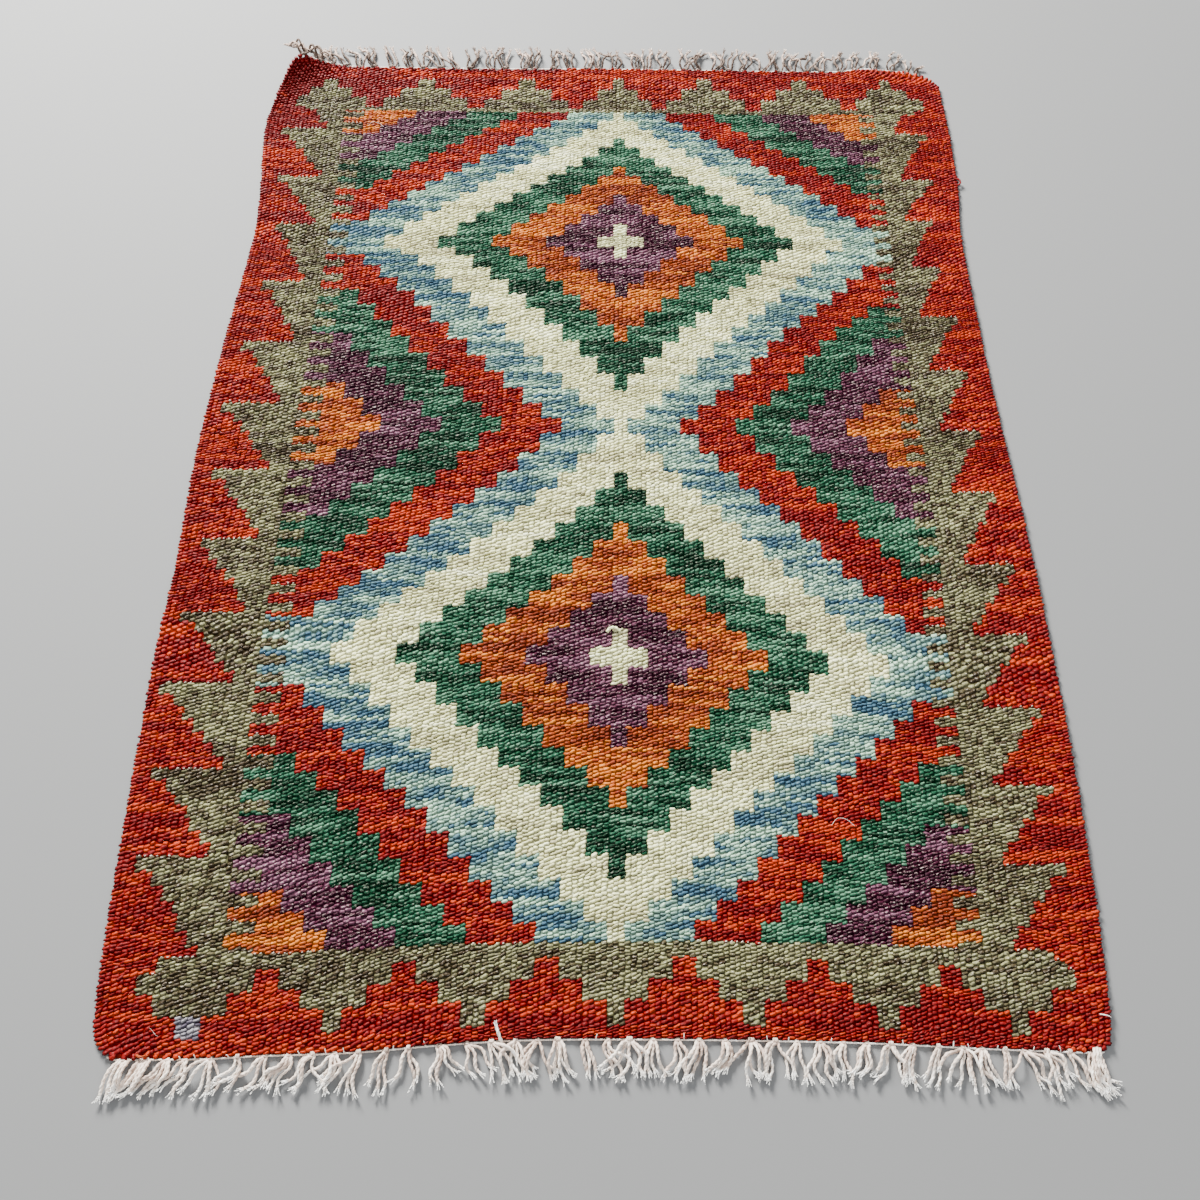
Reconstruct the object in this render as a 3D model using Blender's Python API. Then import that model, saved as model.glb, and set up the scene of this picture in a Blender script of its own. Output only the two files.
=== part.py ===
"""A flat-woven kilim rug: one wool cloth, and a knotted warp fringe on a twined cord at each end.

Metres, +Z up. X runs across the rug and +Y runs along it, from the near end to the far end. The rug
lies on z = 0 with its footprint centred on the origin. Its far left corner curls up off the floor,
and a low ripple runs out at its far right corner.
"""

import math
import random
from collections import namedtuple

import bmesh
import bpy
from mathutils import Vector

# ---- driving dimensions, metres ---------------------------------------------------------------
WOVEN_LENGTH = 0.855       # of the cloth along the warp, without its fringe
WOVEN_WIDTH = 0.611        # of the cloth along the weft, on average
CLOTH_THICK = 0.0030
SELVEDGE_EXTRA = 0.0006    # the doubled side warps make the cloth this much thicker
SELVEDGE_REACH = 0.010     # and they fade into the cloth over this distance

TOP_ROUNDING = 0.0009      # how far the upper face stops short of the cloth's outline
UNDER_ROUNDING = 0.0004    # and the lower face
RIM_LEVEL = 0.45           # where the outline lies between the two faces

# Where both selvedges run, from the near end to the far end. The cloth draws in where the weaver
# pulled the weft tight, and is widest near its first third.
Side = namedtuple("Side", "y left right")
SIDES = (
    Side(-0.430, -0.3000, 0.3100),
    Side(-0.400, -0.3050, 0.3115),
    Side(-0.350, -0.3075, 0.3122),
    Side(-0.290, -0.3092, 0.3130),
    Side(-0.230, -0.3099, 0.3134),
    Side(-0.160, -0.3104, 0.3122),
    Side(-0.100, -0.3080, 0.3106),
    Side(-0.045, -0.3082, 0.3083),
    Side(0.010, -0.3086, 0.3050),
    Side(0.065, -0.3058, 0.3020),
    Side(0.120, -0.3026, 0.3000),
    Side(0.175, -0.2985, 0.2982),
    Side(0.225, -0.2952, 0.2975),
    Side(0.280, -0.2975, 0.3020),
    Side(0.335, -0.3022, 0.3024),
    Side(0.385, -0.3015, 0.3010),
    Side(0.430, -0.2965, 0.2985),
)

# Where both ends of the cloth run, from left to right. The near end bows in at its middle.
End = namedtuple("End", "x near far")
ENDS = (
    End(-0.310, -0.4300, 0.4270),
    End(-0.240, -0.4299, 0.4270),
    End(-0.205, -0.4284, 0.4266),
    End(-0.148, -0.4267, 0.4264),
    End(-0.100, -0.4230, 0.4264),
    End(-0.050, -0.4203, 0.4270),
    End(0.010, -0.4201, 0.4277),
    End(0.090, -0.4212, 0.4274),
    End(0.165, -0.4233, 0.4270),
    End(0.220, -0.4262, 0.4280),
    End(0.270, -0.4284, 0.4290),
    End(0.315, -0.4300, 0.4290),
)

# Each corner is a quarter of an ellipse: how far it reaches across the end and along the side.
Corner = namedtuple("Corner", "across along")
CORNERS = {
    ("near", "left"): Corner(0.013, 0.016),
    ("near", "right"): Corner(0.008, 0.010),
    ("far", "left"): Corner(0.012, 0.013),
    ("far", "right"): Corner(0.036, 0.024),
}

# The far left corner curls up behind a fold line that runs diagonally across it.
CURL_CORNER = Vector((-0.297, 0.427))
CURL_DEPTH = 0.0515        # from the fold line out to the corner, square to the fold
CURL_RADIUS = 0.078

# A soft ripple lifts the far edge beside its rounded right corner.
RIPPLE_CREST = Vector((0.236, 0.432))
RIPPLE_HEIGHT = 0.0030
RIPPLE_REACH = Vector((0.032, 0.055))

# Uneven weft tension leaves the upper face gently puckered.
PUCKER_HEIGHT = 0.00016
Pucker = namedtuple("Pucker", "across along turn")
PUCKERS = (
    Pucker(0.190, 0.340, 0.4),
    Pucker(0.480, 0.150, 2.1),
    Pucker(-0.260, 0.230, 4.0),
)

# The fringe: warp ends in bunches, each knotted on a cord that runs along the end of the cloth.
CORD_GAP = 0.0003          # between the cloth and the cord
CORD_WIDTH = 0.0013
CORD_HEIGHT = 0.0014
CORD_SPANS = {"near": (-0.2930, 0.3045), "far": (-0.2900, 0.2830)}
CORD_END_MARGIN = 0.0035   # from the end of the cord to the middle of the first bunch
BUNCHES = 42
BUNCH_STRANDS = 3
CORNER_STRANDS = 4         # the two near corners carry a fuller bunch
ROOT_PITCH = 0.0021        # between strands where they leave the cord
STRAND_FAN = 0.0030        # between strands of one bunch, at their tips
STRAND_CLEAR = 0.0006      # the least air between two strands
SLANT_ROOM = 1.3           # strands that lean lie closer than they are along the cord
STRAND_LENGTHS = {"near": (0.0225, 0.0285), "far": (0.0205, 0.0270)}
STRAND_SWAY = 0.0016
FRINGE_DROOP = 0.30        # how steeply a strand falls to the floor from a lifted edge
FRINGE_SEED = 7
SPREAD_ROUNDS = 60         # passes that ease neighbouring strands apart

# How a strand swells from its root to its frayed tip. Its section is a triangle on a flat base.
Ring = namedtuple("Ring", "reach half_width height")
STRAND_RINGS = (
    Ring(0.00, 0.00075, CORD_HEIGHT),
    Ring(0.30, 0.00072, 0.00130),
    Ring(0.60, 0.00070, 0.00125),
    Ring(0.84, 0.00074, 0.00120),
    Ring(1.00, 0.00120, 0.00095),
)

# Which way the bunches lean, in radians towards +X, from left to right.
Lean = namedtuple("Lean", "x near far")
LEANS = (
    Lean(-0.300, -0.62, -0.35),
    Lean(-0.230, -0.50, -0.38),
    Lean(-0.150, -0.38, -0.28),
    Lean(-0.100, 0.22, 0.05),
    Lean(-0.050, 0.28, 0.00),
    Lean(0.000, 0.05, -0.08),
    Lean(0.070, 0.10, 0.10),
    Lean(0.140, 0.05, 0.15),
    Lean(0.190, -0.28, 0.22),
    Lean(0.240, 0.15, 0.25),
    Lean(0.305, 0.38, 0.30),
)

# The cloth is a net of rows and columns, closer together towards its edges.
CLOTH_ROWS = 36
CLOTH_COLUMNS = 24

WOOL_COLOUR = (0.36, 0.075, 0.035, 1.0)
COTTON_COLOUR = (0.74, 0.68, 0.60, 1.0)


# ---- reading the tables -----------------------------------------------------------------------
def smooth_read(table, key, column, at):
    """Read a column of a table at a place between its rows, on one smooth curve through them."""
    places = [getattr(row, key) for row in table]
    values = [getattr(row, column) for row in table]
    last = len(places) - 1
    at = min(max(at, places[0]), places[last])
    low = max(k for k in range(last) if places[k] <= at)
    high = low + 1

    def slope(k):
        before, after = max(k - 1, 0), min(k + 1, last)
        return (values[after] - values[before]) / (places[after] - places[before])

    step = places[high] - places[low]
    t = (at - places[low]) / step
    return (values[low] * (1 + 2 * t) * (1 - t) ** 2 + values[high] * (3 - 2 * t) * t * t
            + step * (slope(low) * t * (1 - t) ** 2 - slope(high) * (1 - t) * t * t))


def closer_at_ends(index, count):
    """Turn a line's number into a place from 0 to 1, with the lines closer together at both ends."""
    return 0.5 - 0.5 * math.cos(math.pi * index / count)


# ---- where the cloth lies ---------------------------------------------------------------------
def corner_inset(from_end, corner):
    """How far a rounded corner draws the side in, at this distance from the end of the cloth."""
    left_over = 1 - from_end / corner.along
    return corner.across * (1 - math.sqrt(1 - left_over ** 2)) if left_over > 0 else 0.0


def selvedge_x(side, along):
    """Where one side runs, with its two rounded corners; along is 0 at the near end, 1 at the far."""
    inset = (corner_inset(along * WOVEN_LENGTH, CORNERS["near", side])
             + corner_inset((1 - along) * WOVEN_LENGTH, CORNERS["far", side]))
    x = smooth_read(SIDES, "y", side, (along - 0.5) * WOVEN_LENGTH)
    return x + inset if side == "left" else x - inset


def plan_point(across, along, margin):
    """A place on the cloth seen from above; both numbers run from 0 to 1, from the near left."""
    left = selvedge_x("left", along) + margin
    right = selvedge_x("right", along) - margin
    x = left + (right - left) * across
    near = smooth_read(ENDS, "x", "near", x) + margin
    far = smooth_read(ENDS, "x", "far", x) - margin
    return x, near + (far - near) * along


def lift(x, y):
    """How high the cloth's underside is off the floor."""
    to_corner = ((x - CURL_CORNER.x) + (CURL_CORNER.y - y)) / math.sqrt(2)
    past_fold = max(CURL_DEPTH - to_corner, 0.0)
    ripple = math.hypot((x - RIPPLE_CREST.x) / RIPPLE_REACH.x, (y - RIPPLE_CREST.y) / RIPPLE_REACH.y)
    rise = RIPPLE_HEIGHT * (1 + math.cos(math.pi * ripple)) / 2 if ripple < 1 else 0.0
    return past_fold ** 2 / (2 * CURL_RADIUS) + rise


def thickness(x, y, from_side):
    """The cloth's thickness, fuller along the selvedges and slightly puckered everywhere."""
    full = math.exp(-(from_side / SELVEDGE_REACH) ** 2)
    pucker = sum(math.sin(math.tau * (x / wave.across + y / wave.along) + wave.turn)
                 for wave in PUCKERS)
    return CLOTH_THICK + SELVEDGE_EXTRA * full + PUCKER_HEIGHT * pucker


def cloth_point(across, along, margin, level):
    """A point in the cloth; level is 0 on its underside and 1 on its upper face."""
    x, y = plan_point(across, along, margin)
    from_side = min(across, 1 - across) * WOVEN_WIDTH
    return Vector((x, y, lift(x, y) + level * thickness(x, y, from_side)))


# ---- the cloth --------------------------------------------------------------------------------
def add_net(mesh, margin, level):
    """Add one face of the cloth as a net of points, and return them by row and column."""
    return [[mesh.verts.new(cloth_point(closer_at_ends(column, CLOTH_COLUMNS),
                                        closer_at_ends(row, CLOTH_ROWS), margin, level))
             for column in range(CLOTH_COLUMNS + 1)]
            for row in range(CLOTH_ROWS + 1)]


def outline_of(net):
    """The points around the edge of a net, in order."""
    first, last = net[0], net[-1]
    right = [row[-1] for row in net[1:-1]]
    left = [row[0] for row in net[1:-1]]
    return first + right + last[::-1] + left[::-1]


def close_between(mesh, loop_a, loop_b):
    """Join two closed loops of points with a band of faces."""
    for here in range(len(loop_a)):
        after = (here + 1) % len(loop_a)
        mesh.faces.new((loop_a[here], loop_a[after], loop_b[after], loop_b[here]))


def build_cloth():
    """The woven body: an upper and a lower net, joined around a softly rounded rim."""
    mesh = bmesh.new()
    upper = add_net(mesh, TOP_ROUNDING, 1.0)
    under = add_net(mesh, UNDER_ROUNDING, 0.0)
    for net in (upper, under):
        for row, next_row in zip(net, net[1:]):
            for k in range(CLOTH_COLUMNS):
                mesh.faces.new((row[k], row[k + 1], next_row[k + 1], next_row[k]))
    rim_net = add_net(mesh, 0.0, RIM_LEVEL)
    rim = outline_of(rim_net)
    inside = [vert for row in rim_net[1:-1] for vert in row[1:-1]]
    bmesh.ops.delete(mesh, geom=inside, context="VERTS")
    close_between(mesh, outline_of(upper), rim)
    close_between(mesh, rim, outline_of(under))
    return mesh


# ---- the fringe -------------------------------------------------------------------------------
def edge_y(end, x):
    """Where the end of the cloth runs, also around its rounded corners."""
    drop = 0.0
    for side, outward in (("left", -1), ("right", 1)):
        corner = CORNERS[end, side]
        starts = selvedge_x(side, 0.0 if end == "near" else 1.0)
        past = min(max(outward * (x - starts) / corner.across, 0.0), 1.0)
        drop += corner.along * (1 - math.sqrt(1 - past ** 2))
    y = smooth_read(ENDS, "x", end, x)
    return y + drop if end == "near" else y - drop


def edge_frame(end, x):
    """A point on the end of the cloth, with the direction along it and the way out from it."""
    step = 0.0005
    tangent = Vector((2 * step, edge_y(end, x + step) - edge_y(end, x - step))).normalized()
    out = Vector((tangent.y, -tangent.x)) if end == "near" else Vector((-tangent.y, tangent.x))
    return Vector((x, edge_y(end, x))), tangent, out


def plan_strands(end):
    """Choose each strand's root, length and sideways drift, in order from left to right."""
    chance = random.Random(f"{end} {FRINGE_SEED}")
    start, stop = CORD_SPANS[end]
    first, last = start + CORD_END_MARGIN, stop - CORD_END_MARGIN
    strands = []
    for bunch in range(BUNCHES):
        centre = first + (last - first) * bunch / (BUNCHES - 1)
        count = CORNER_STRANDS if end == "near" and bunch in (0, BUNCHES - 1) else BUNCH_STRANDS
        lean = smooth_read(LEANS, "x", end, centre) + chance.uniform(-0.06, 0.06)
        sway = chance.uniform(-STRAND_SWAY, STRAND_SWAY)
        for k in range(count):
            place = k - (count - 1) / 2
            length = chance.uniform(*STRAND_LENGTHS[end])
            root = centre + place * ROOT_PITCH
            root = min(max(root, start + 0.001), stop - 0.001)
            strands.append({"root": root, "length": length, "sway": sway,
                            "out": length * math.cos(lean),
                            "drift": length * math.sin(lean) + place * STRAND_FAN})
    roots_apart(strands, start, stop)
    return strands


def roots_apart(strands, start, stop):
    """Slide crowded roots along the cord until each has its own place on it."""
    for _ in range(SPREAD_ROUNDS):
        for left, right in zip(strands, strands[1:]):
            short = ROOT_PITCH - (right["root"] - left["root"])
            if short > 0:
                left["root"] = max(left["root"] - short / 2, start + ROOT_PITCH / 2)
                right["root"] = min(right["root"] + short / 2, stop - ROOT_PITCH / 2)


def sideways_places(strands):
    """Each strand's place along the cord at each of its rings, eased apart until none touch."""
    places = []
    for ring in STRAND_RINGS:
        t = ring.reach
        row = [strand["root"] + strand["drift"] * t * (0.6 + 0.4 * t)
               + strand["sway"] * math.sin(math.pi * t) for strand in strands]
        least = (2 * ring.half_width + STRAND_CLEAR) * SLANT_ROOM
        for _ in range(SPREAD_ROUNDS if t > 0 else 0):
            for k in range(len(row) - 1):
                short = least - (row[k + 1] - row[k])
                if short > 0:
                    row[k] -= short / 2
                    row[k + 1] += short / 2
        places.append(row)
    return places


def strand_centres(end, strand, ring_places):
    """The middle of the strand's base at each ring, seen from above."""
    origin, tangent, out = edge_frame(end, strand["root"])
    start = CORD_GAP + CORD_WIDTH
    return [origin + tangent * (place - strand["root"]) + out * (start + strand["out"] * ring.reach)
            for ring, place in zip(STRAND_RINGS, ring_places)]


def add_strand(mesh, root_ring, centres, floor_height, length):
    """Grow one strand from its three root points to its frayed tip, resting level on its base."""
    previous = root_ring
    for k in range(1, len(STRAND_RINGS)):
        ring = STRAND_RINGS[k]
        ahead = centres[min(k + 1, len(centres) - 1)]
        heading = (ahead - centres[k - 1]).normalized()
        side = Vector((-heading.y, heading.x))
        if side.x < 0:
            side = -side
        base = max(floor_height - FRINGE_DROOP * length * ring.reach, 0.0)
        left = centres[k] - side * ring.half_width
        right = centres[k] + side * ring.half_width
        current = [mesh.verts.new((left.x, left.y, base)), mesh.verts.new((right.x, right.y, base)),
                   mesh.verts.new((centres[k].x, centres[k].y, base + ring.height))]
        for a in range(3):
            b = (a + 1) % 3
            mesh.faces.new((previous[a], previous[b], current[b], current[a]))
        previous = current
    mesh.faces.new(previous)


def cord_station(mesh, end, x, points):
    """Add points of the cord's section at x: each is named outer or inner, and foot or crown."""
    origin, _, out = edge_frame(end, x)
    base = lift(origin.x, origin.y)
    station = {}
    for face, level in points:
        place = origin + out * (CORD_GAP + (CORD_WIDTH if face == "outer" else 0.0))
        station[face, level] = mesh.verts.new(
            (place.x, place.y, base + (CORD_HEIGHT if level == "crown" else 0.0)))
    return station


def build_fringe(end):
    """The cord along one end of the cloth, with every strand grown out of its outer face."""
    mesh = bmesh.new()
    strands = plan_strands(end)
    places = sideways_places(strands)
    section = (("outer", "foot"), ("outer", "crown"), ("inner", "crown"), ("inner", "foot"))
    ends = [cord_station(mesh, end, x, section) for x in CORD_SPANS[end]]
    half = STRAND_RINGS[0].half_width
    stations = []
    for number, strand in enumerate(strands):
        middle = cord_station(mesh, end, strand["root"], section[1:])
        feet = [cord_station(mesh, end, strand["root"] + shift, section[:1])["outer", "foot"]
                for shift in (-half, half)]
        stations.append((feet, middle))
        centres = strand_centres(end, strand, [row[number] for row in places])
        root_height = lift(centres[0].x, centres[0].y)
        add_strand(mesh, [*feet, middle["outer", "crown"]], centres, root_height, strand["length"])
        mesh.faces.new((*feet, middle["inner", "foot"]))
    left_end = ([ends[0]["outer", "foot"]] * 2, ends[0])
    right_end = ([ends[1]["outer", "foot"]] * 2, ends[1])
    row = [left_end, *stations, right_end]
    for (feet_a, a), (feet_b, b) in zip(row, row[1:]):
        foot_a, foot_b = feet_a[1], feet_b[0]
        mesh.faces.new((foot_a, foot_b, b["outer", "crown"], a["outer", "crown"]))
        mesh.faces.new((a["outer", "crown"], b["outer", "crown"], b["inner", "crown"], a["inner", "crown"]))
        mesh.faces.new((a["inner", "crown"], b["inner", "crown"], b["inner", "foot"], a["inner", "foot"]))
        mesh.faces.new((a["inner", "foot"], b["inner", "foot"], foot_b, foot_a))
    for cap in ends:
        mesh.faces.new([cap[point] for point in section])
    return mesh


# ---- objects and materials --------------------------------------------------------------------
def make_material(name, colour, roughness):
    """A plain cloth finish in one colour."""
    material = bpy.data.materials.new(name)
    material.use_nodes = True
    shader = material.node_tree.nodes["Principled BSDF"]
    shader.inputs["Base Color"].default_value = colour
    shader.inputs["Roughness"].default_value = roughness
    shader.inputs["Metallic"].default_value = 0.0
    material.diffuse_color = colour
    return material


def add_object(name, mesh, material):
    """Turn a working mesh into a named object with its faces pointing out."""
    bmesh.ops.recalc_face_normals(mesh, faces=mesh.faces)
    data = bpy.data.meshes.new(name)
    mesh.to_mesh(data)
    mesh.free()
    data.materials.append(material)
    data.shade_smooth()
    data.set_sharp_from_angle(angle=math.radians(35))
    piece = bpy.data.objects.new(name, data)
    bpy.context.scene.collection.objects.link(piece)
    return piece


def centre_footprint(pieces):
    """Shift every piece so that the whole rug's footprint is centred on the origin."""
    points = [vert.co for piece in pieces for vert in piece.data.vertices]
    middle = [(min(p[axis] for p in points) + max(p[axis] for p in points)) / 2 for axis in (0, 1)]
    for piece in pieces:
        for vert in piece.data.vertices:
            vert.co.x -= middle[0]
            vert.co.y -= middle[1]


def build_rug():
    """The whole rug: the cloth and its two fringes."""
    wool = make_material("kilim_wool", WOOL_COLOUR, 0.9)
    cotton = make_material("warp_cotton", COTTON_COLOUR, 0.85)
    pieces = [add_object("kilim_body", build_cloth(), wool),
              add_object("fringe_near", build_fringe("near"), cotton),
              add_object("fringe_far", build_fringe("far"), cotton)]
    centre_footprint(pieces)


for old in list(bpy.data.objects):
    bpy.data.objects.remove(old, do_unlink=True)
build_rug()
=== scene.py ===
# %% [markdown]
# # A kilim rug, woven float by float
# A kilim is a flat-woven rug: coloured wool weft runs over and under undyed cotton warps, and is
# beaten down until it hides them. What the eye sees is tens of thousands of short wool floats, laid
# in diagonal lines, and every motif is made of whole floats. This lesson builds the rug the way a
# weaver thinks of it: first the loom (where each warp and each weft line lies on the finished
# cloth), then one rule for the pattern, and then the yarn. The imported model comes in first. It is
# the fixed frame that every piece has to fit, so its outer box is kept for the end.

# %% Load the frame
import math
import random
import bpy
import numpy as np
from mathutils import Matrix, Vector


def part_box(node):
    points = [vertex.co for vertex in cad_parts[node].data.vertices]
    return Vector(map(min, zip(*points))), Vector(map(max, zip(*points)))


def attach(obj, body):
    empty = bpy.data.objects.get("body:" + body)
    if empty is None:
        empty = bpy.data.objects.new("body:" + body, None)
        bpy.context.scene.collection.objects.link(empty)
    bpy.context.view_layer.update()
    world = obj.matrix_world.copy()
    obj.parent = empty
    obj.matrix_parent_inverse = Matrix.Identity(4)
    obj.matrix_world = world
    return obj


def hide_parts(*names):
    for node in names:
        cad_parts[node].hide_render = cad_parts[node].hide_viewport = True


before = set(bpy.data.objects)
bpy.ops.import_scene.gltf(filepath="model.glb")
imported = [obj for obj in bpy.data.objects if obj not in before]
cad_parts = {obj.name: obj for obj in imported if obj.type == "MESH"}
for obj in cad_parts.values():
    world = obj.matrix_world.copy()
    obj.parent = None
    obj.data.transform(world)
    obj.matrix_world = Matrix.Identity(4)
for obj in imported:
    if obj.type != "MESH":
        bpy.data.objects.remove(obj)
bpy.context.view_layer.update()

MM = 0.001
cloth_low, cloth_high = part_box("kilim_body")
print("cloth in the frame, mm:", [round(v / MM, 1) for v in (*cloth_low, *cloth_high)])

# %% [markdown]
# ## The cloth's outline
# The rug was measured on a straightened copy of the photograph, as if on a table whose zero is the
# middle of the cloth. Selvedges draw in where the weft was pulled tight, and the near end bows in at
# its middle. The tables give a few measured places, and one smooth curve through them gives the
# rest. They could be drawn as Bezier curves in the viewport, but a table says which number was
# measured, and NumPy reads it for all fifty thousand floats at once.

# %% Measured outline, in millimetres
WOVEN_LENGTH = 855 * MM
WOVEN_WIDTH = 611 * MM
CLOTH_THICK = 3.0 * MM
SELVEDGE_EXTRA = 0.6 * MM
SELVEDGE_REACH = 10 * MM

SIDES = (  # y, left selvedge, right selvedge
    (-430, -300.0, 305.0), (-400, -305.0, 308.8), (-350, -307.5, 311.6), (-290, -309.2, 312.9),
    (-230, -309.9, 313.4), (-160, -310.4, 312.2), (-100, -308.0, 310.6), (-45, -308.2, 308.3),
    (10, -308.6, 305.0), (65, -305.8, 302.0), (120, -302.6, 300.0), (175, -298.5, 298.2),
    (225, -295.2, 297.5), (280, -297.5, 302.0), (335, -302.2, 302.4), (385, -301.5, 301.0),
    (430, -296.5, 298.5))
ENDS = (  # x, near end, far end
    (-310, -430.0, 427.0), (-240, -429.9, 427.0), (-205, -428.4, 426.6), (-148, -426.7, 426.4),
    (-100, -423.0, 426.4), (-50, -420.3, 427.0), (10, -420.1, 427.7), (90, -421.2, 427.4),
    (165, -423.3, 427.0), (220, -426.2, 428.0), (270, -428.4, 429.0), (315, -430.0, 429.0))
CORNERS = {  # how far a rounded corner reaches across the end and along the side
    ("near", "left"): (13, 16), ("near", "right"): (8, 10),
    ("far", "left"): (12, 13), ("far", "right"): (36, 24)}
CURL_CORNER = (-297 * MM, 427 * MM)
CURL_DEPTH = 51.5 * MM
CURL_RADIUS = 78 * MM
CURL_DRAW = 15 * MM
RIPPLE_CREST = (236 * MM, 432 * MM)
RIPPLE_HEIGHT = 3 * MM
RIPPLE_REACH = (32 * MM, 55 * MM)
PUCKER_HEIGHT = 0.16 * MM
PUCKERS = ((190, 340, 0.4), (480, 150, 2.1), (-260, 230, 4.0))  # wave across, along, and turn


def smooth_read(table, column, at, unit=MM):
    """Read one column of a table for an array of places, on one smooth curve through its rows."""
    rows = np.array(table, float)
    places, values = rows[:, 0] * unit, rows[:, column] * MM
    last = len(places) - 1
    index = np.arange(last + 1)
    before, after = np.maximum(index - 1, 0), np.minimum(index + 1, last)
    slopes = (values[after] - values[before]) / (places[after] - places[before])
    at = np.clip(np.asarray(at, float), places[0], places[last])
    low = np.clip(np.searchsorted(places, at, "right") - 1, 0, last - 1)
    high = low + 1
    step = places[high] - places[low]
    t = (at - places[low]) / step
    return (values[low] * (1 + 2 * t) * (1 - t) ** 2 + values[high] * (3 - 2 * t) * t * t
            + step * (slopes[low] * t * (1 - t) ** 2 - slopes[high] * (1 - t) * t * t))


def corner_inset(from_end, corner):
    """How far a rounded corner draws the side in, at this distance from the end."""
    across, along = (v * MM for v in CORNERS[corner])
    left_over = np.clip(1 - from_end / along, 0, 1)
    return across * (1 - np.sqrt(1 - left_over ** 2))


def selvedge_x(side, along):
    """Where one side runs, with its rounded corners; along is 0 at the near end, 1 at the far."""
    inset = (corner_inset(along * WOVEN_LENGTH, ("near", side))
             + corner_inset((1 - along) * WOVEN_LENGTH, ("far", side)))
    x = smooth_read(SIDES, 1 if side == "left" else 2, (along - 0.5) * WOVEN_LENGTH)
    return x + inset if side == "left" else x - inset


def past_fold(x, y):
    """How far a place lies past the fold of the curled corner."""
    to_corner = ((x - CURL_CORNER[0]) + (CURL_CORNER[1] - y)) / math.sqrt(2)
    return np.maximum(CURL_DEPTH - to_corner, 0.0)


def lift(x, y):
    """How high the cloth's underside is off the floor: a curled corner and one low ripple."""
    away = np.hypot((x - RIPPLE_CREST[0]) / RIPPLE_REACH[0], (y - RIPPLE_CREST[1]) / RIPPLE_REACH[1])
    rise = RIPPLE_HEIGHT * (1 + np.cos(math.pi * np.minimum(away, 1))) / 2
    return past_fold(x, y) ** 2 / (2 * CURL_RADIUS) + rise


def drawn_in(x, y):
    """How far the curl draws the cloth sideways, in from its left selvedge."""
    return CURL_DRAW * (past_fold(x, y) / CURL_DEPTH) ** 1.5


def thickness(x, y, from_side):
    """The cloth's thickness, fuller along the selvedges and slightly puckered everywhere."""
    pucker = sum(np.sin(math.tau * (x / (across * MM) + y / (along * MM)) + turn)
                 for across, along, turn in PUCKERS)
    full = np.exp(-(from_side / SELVEDGE_REACH) ** 2)
    return CLOTH_THICK + SELVEDGE_EXTRA * full + PUCKER_HEIGHT * pucker


# The measuring table's zero and the frame's zero differ by a few millimetres.
along_side = np.linspace(0.0, 1.0, 400)
across_end = np.linspace(-0.3, 0.3, 400)
TABLE_TO_FRAME = Vector((cloth_low.x - float(selvedge_x("left", along_side).min()),
                         cloth_high.y - float(smooth_read(ENDS, 2, across_end).max()), 0))
print("table to frame, mm:", [round(v / MM, 2) for v in TABLE_TO_FRAME])

# %% [markdown]
# ## The loom
# On the loom every place has three numbers: the rib (one rib per warp pair, 170 across), the
# pattern row, and the float (one coloured stitch, 305 along). On the finished cloth these lines are
# not straight or even: the weaver beat some rows harder, and the weft sags between the sides. Two
# tables say where the measured weft lines and warps ended up. The rest is read between them.

# %% Where warps and weft lines lie
RIBS = 170
MIDDLE_RIB = 85.5
WEFT_LINES = (  # pattern row, y at the left, middle and right of the field, floats since the last line
    (-17.5, -418.0, -413.0, -418.0, 4), (-16.5, -404.5, -398.0, -404.0, 5),
    (-15.5, -392.0, -385.5, -391.5, 5), (-14.5, -379.0, -372.5, -378.5, 5),
    (-13.5, -369.5, -363.0, -367.5, 4), (-10.5, -330.5, -323.5, -330.5, 15),
    (-7.5, -280.0, -276.0, -288.5, 18), (-4.5, -238.5, -234.5, -245.5, 15),
    (-1.5, -189.0, -188.0, -201.0, 18), (-0.5, -173.0, -174.5, -184.5, 5),
    (0.5, -155.5, -160.0, -166.0, 5), (1.5, -137.0, -145.5, -149.0, 5),
    (4.5, -97.5, -103.0, -104.5, 15), (7.5, -53.5, -58.5, -54.5, 15),
    (10.5, -9.0, -14.5, -9.0, 15), (12.5, 21.5, 21.0, 19.5, 12),
    (13.5, 37.0, 35.0, 36.0, 5), (15.5, 68.0, 63.0, 64.0, 10),
    (18.5, 116.5, 110.5, 115.0, 18), (21.5, 162.5, 157.0, 148.5, 15),
    (24.5, 200.5, 199.0, 193.0, 15), (25.5, 206.5, 211.0, 208.0, 4),
    (26.5, 221.5, 223.0, 221.0, 5), (27.5, 238.0, 236.5, 235.0, 5),
    (30.5, 275.0, 270.5, 274.0, 12), (33.5, 309.5, 304.0, 308.5, 12),
    (36.5, 341.5, 338.5, 338.5, 12), (39.5, 370.5, 370.5, 370.5, 12),
    (40.0, 375.0, 374.5, 376.0, 2), (41.0, 387.0, 386.5, 390.5, 4),
    (42.0, 398.5, 400.0, 402.5, 4), (43.0, 410.5, 414.0, 414.5, 4))
FIRST_ROW, LAST_ROW = -18.3, 44.2   # the near and the far edge of the cloth
LAST_FLOATS = 5
WARPS = (  # y, x at ribs 24, 72, 85.5, 99 and 147
    (-358, -216.0, -43.0, 7.2, 56.8, 220.5), (-168, -220.5, -41.0, 9.7, 56.2, 224.0),
    (-71, -220.0, -38.5, 10.2, 56.2, 227.7), (28, -219.5, -35.6, 10.3, 55.6, 226.5),
    (218, -217.0, -37.4, 9.7, 56.8, 223.5), (368, -217.5, -37.4, 7.9, 50.1, 222.3))
WARP_RIBS = (24, 72, MIDDLE_RIB, 99, 147)
FIELD_HALF = 58.5                    # ribs from the middle to where the side columns were measured

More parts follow.
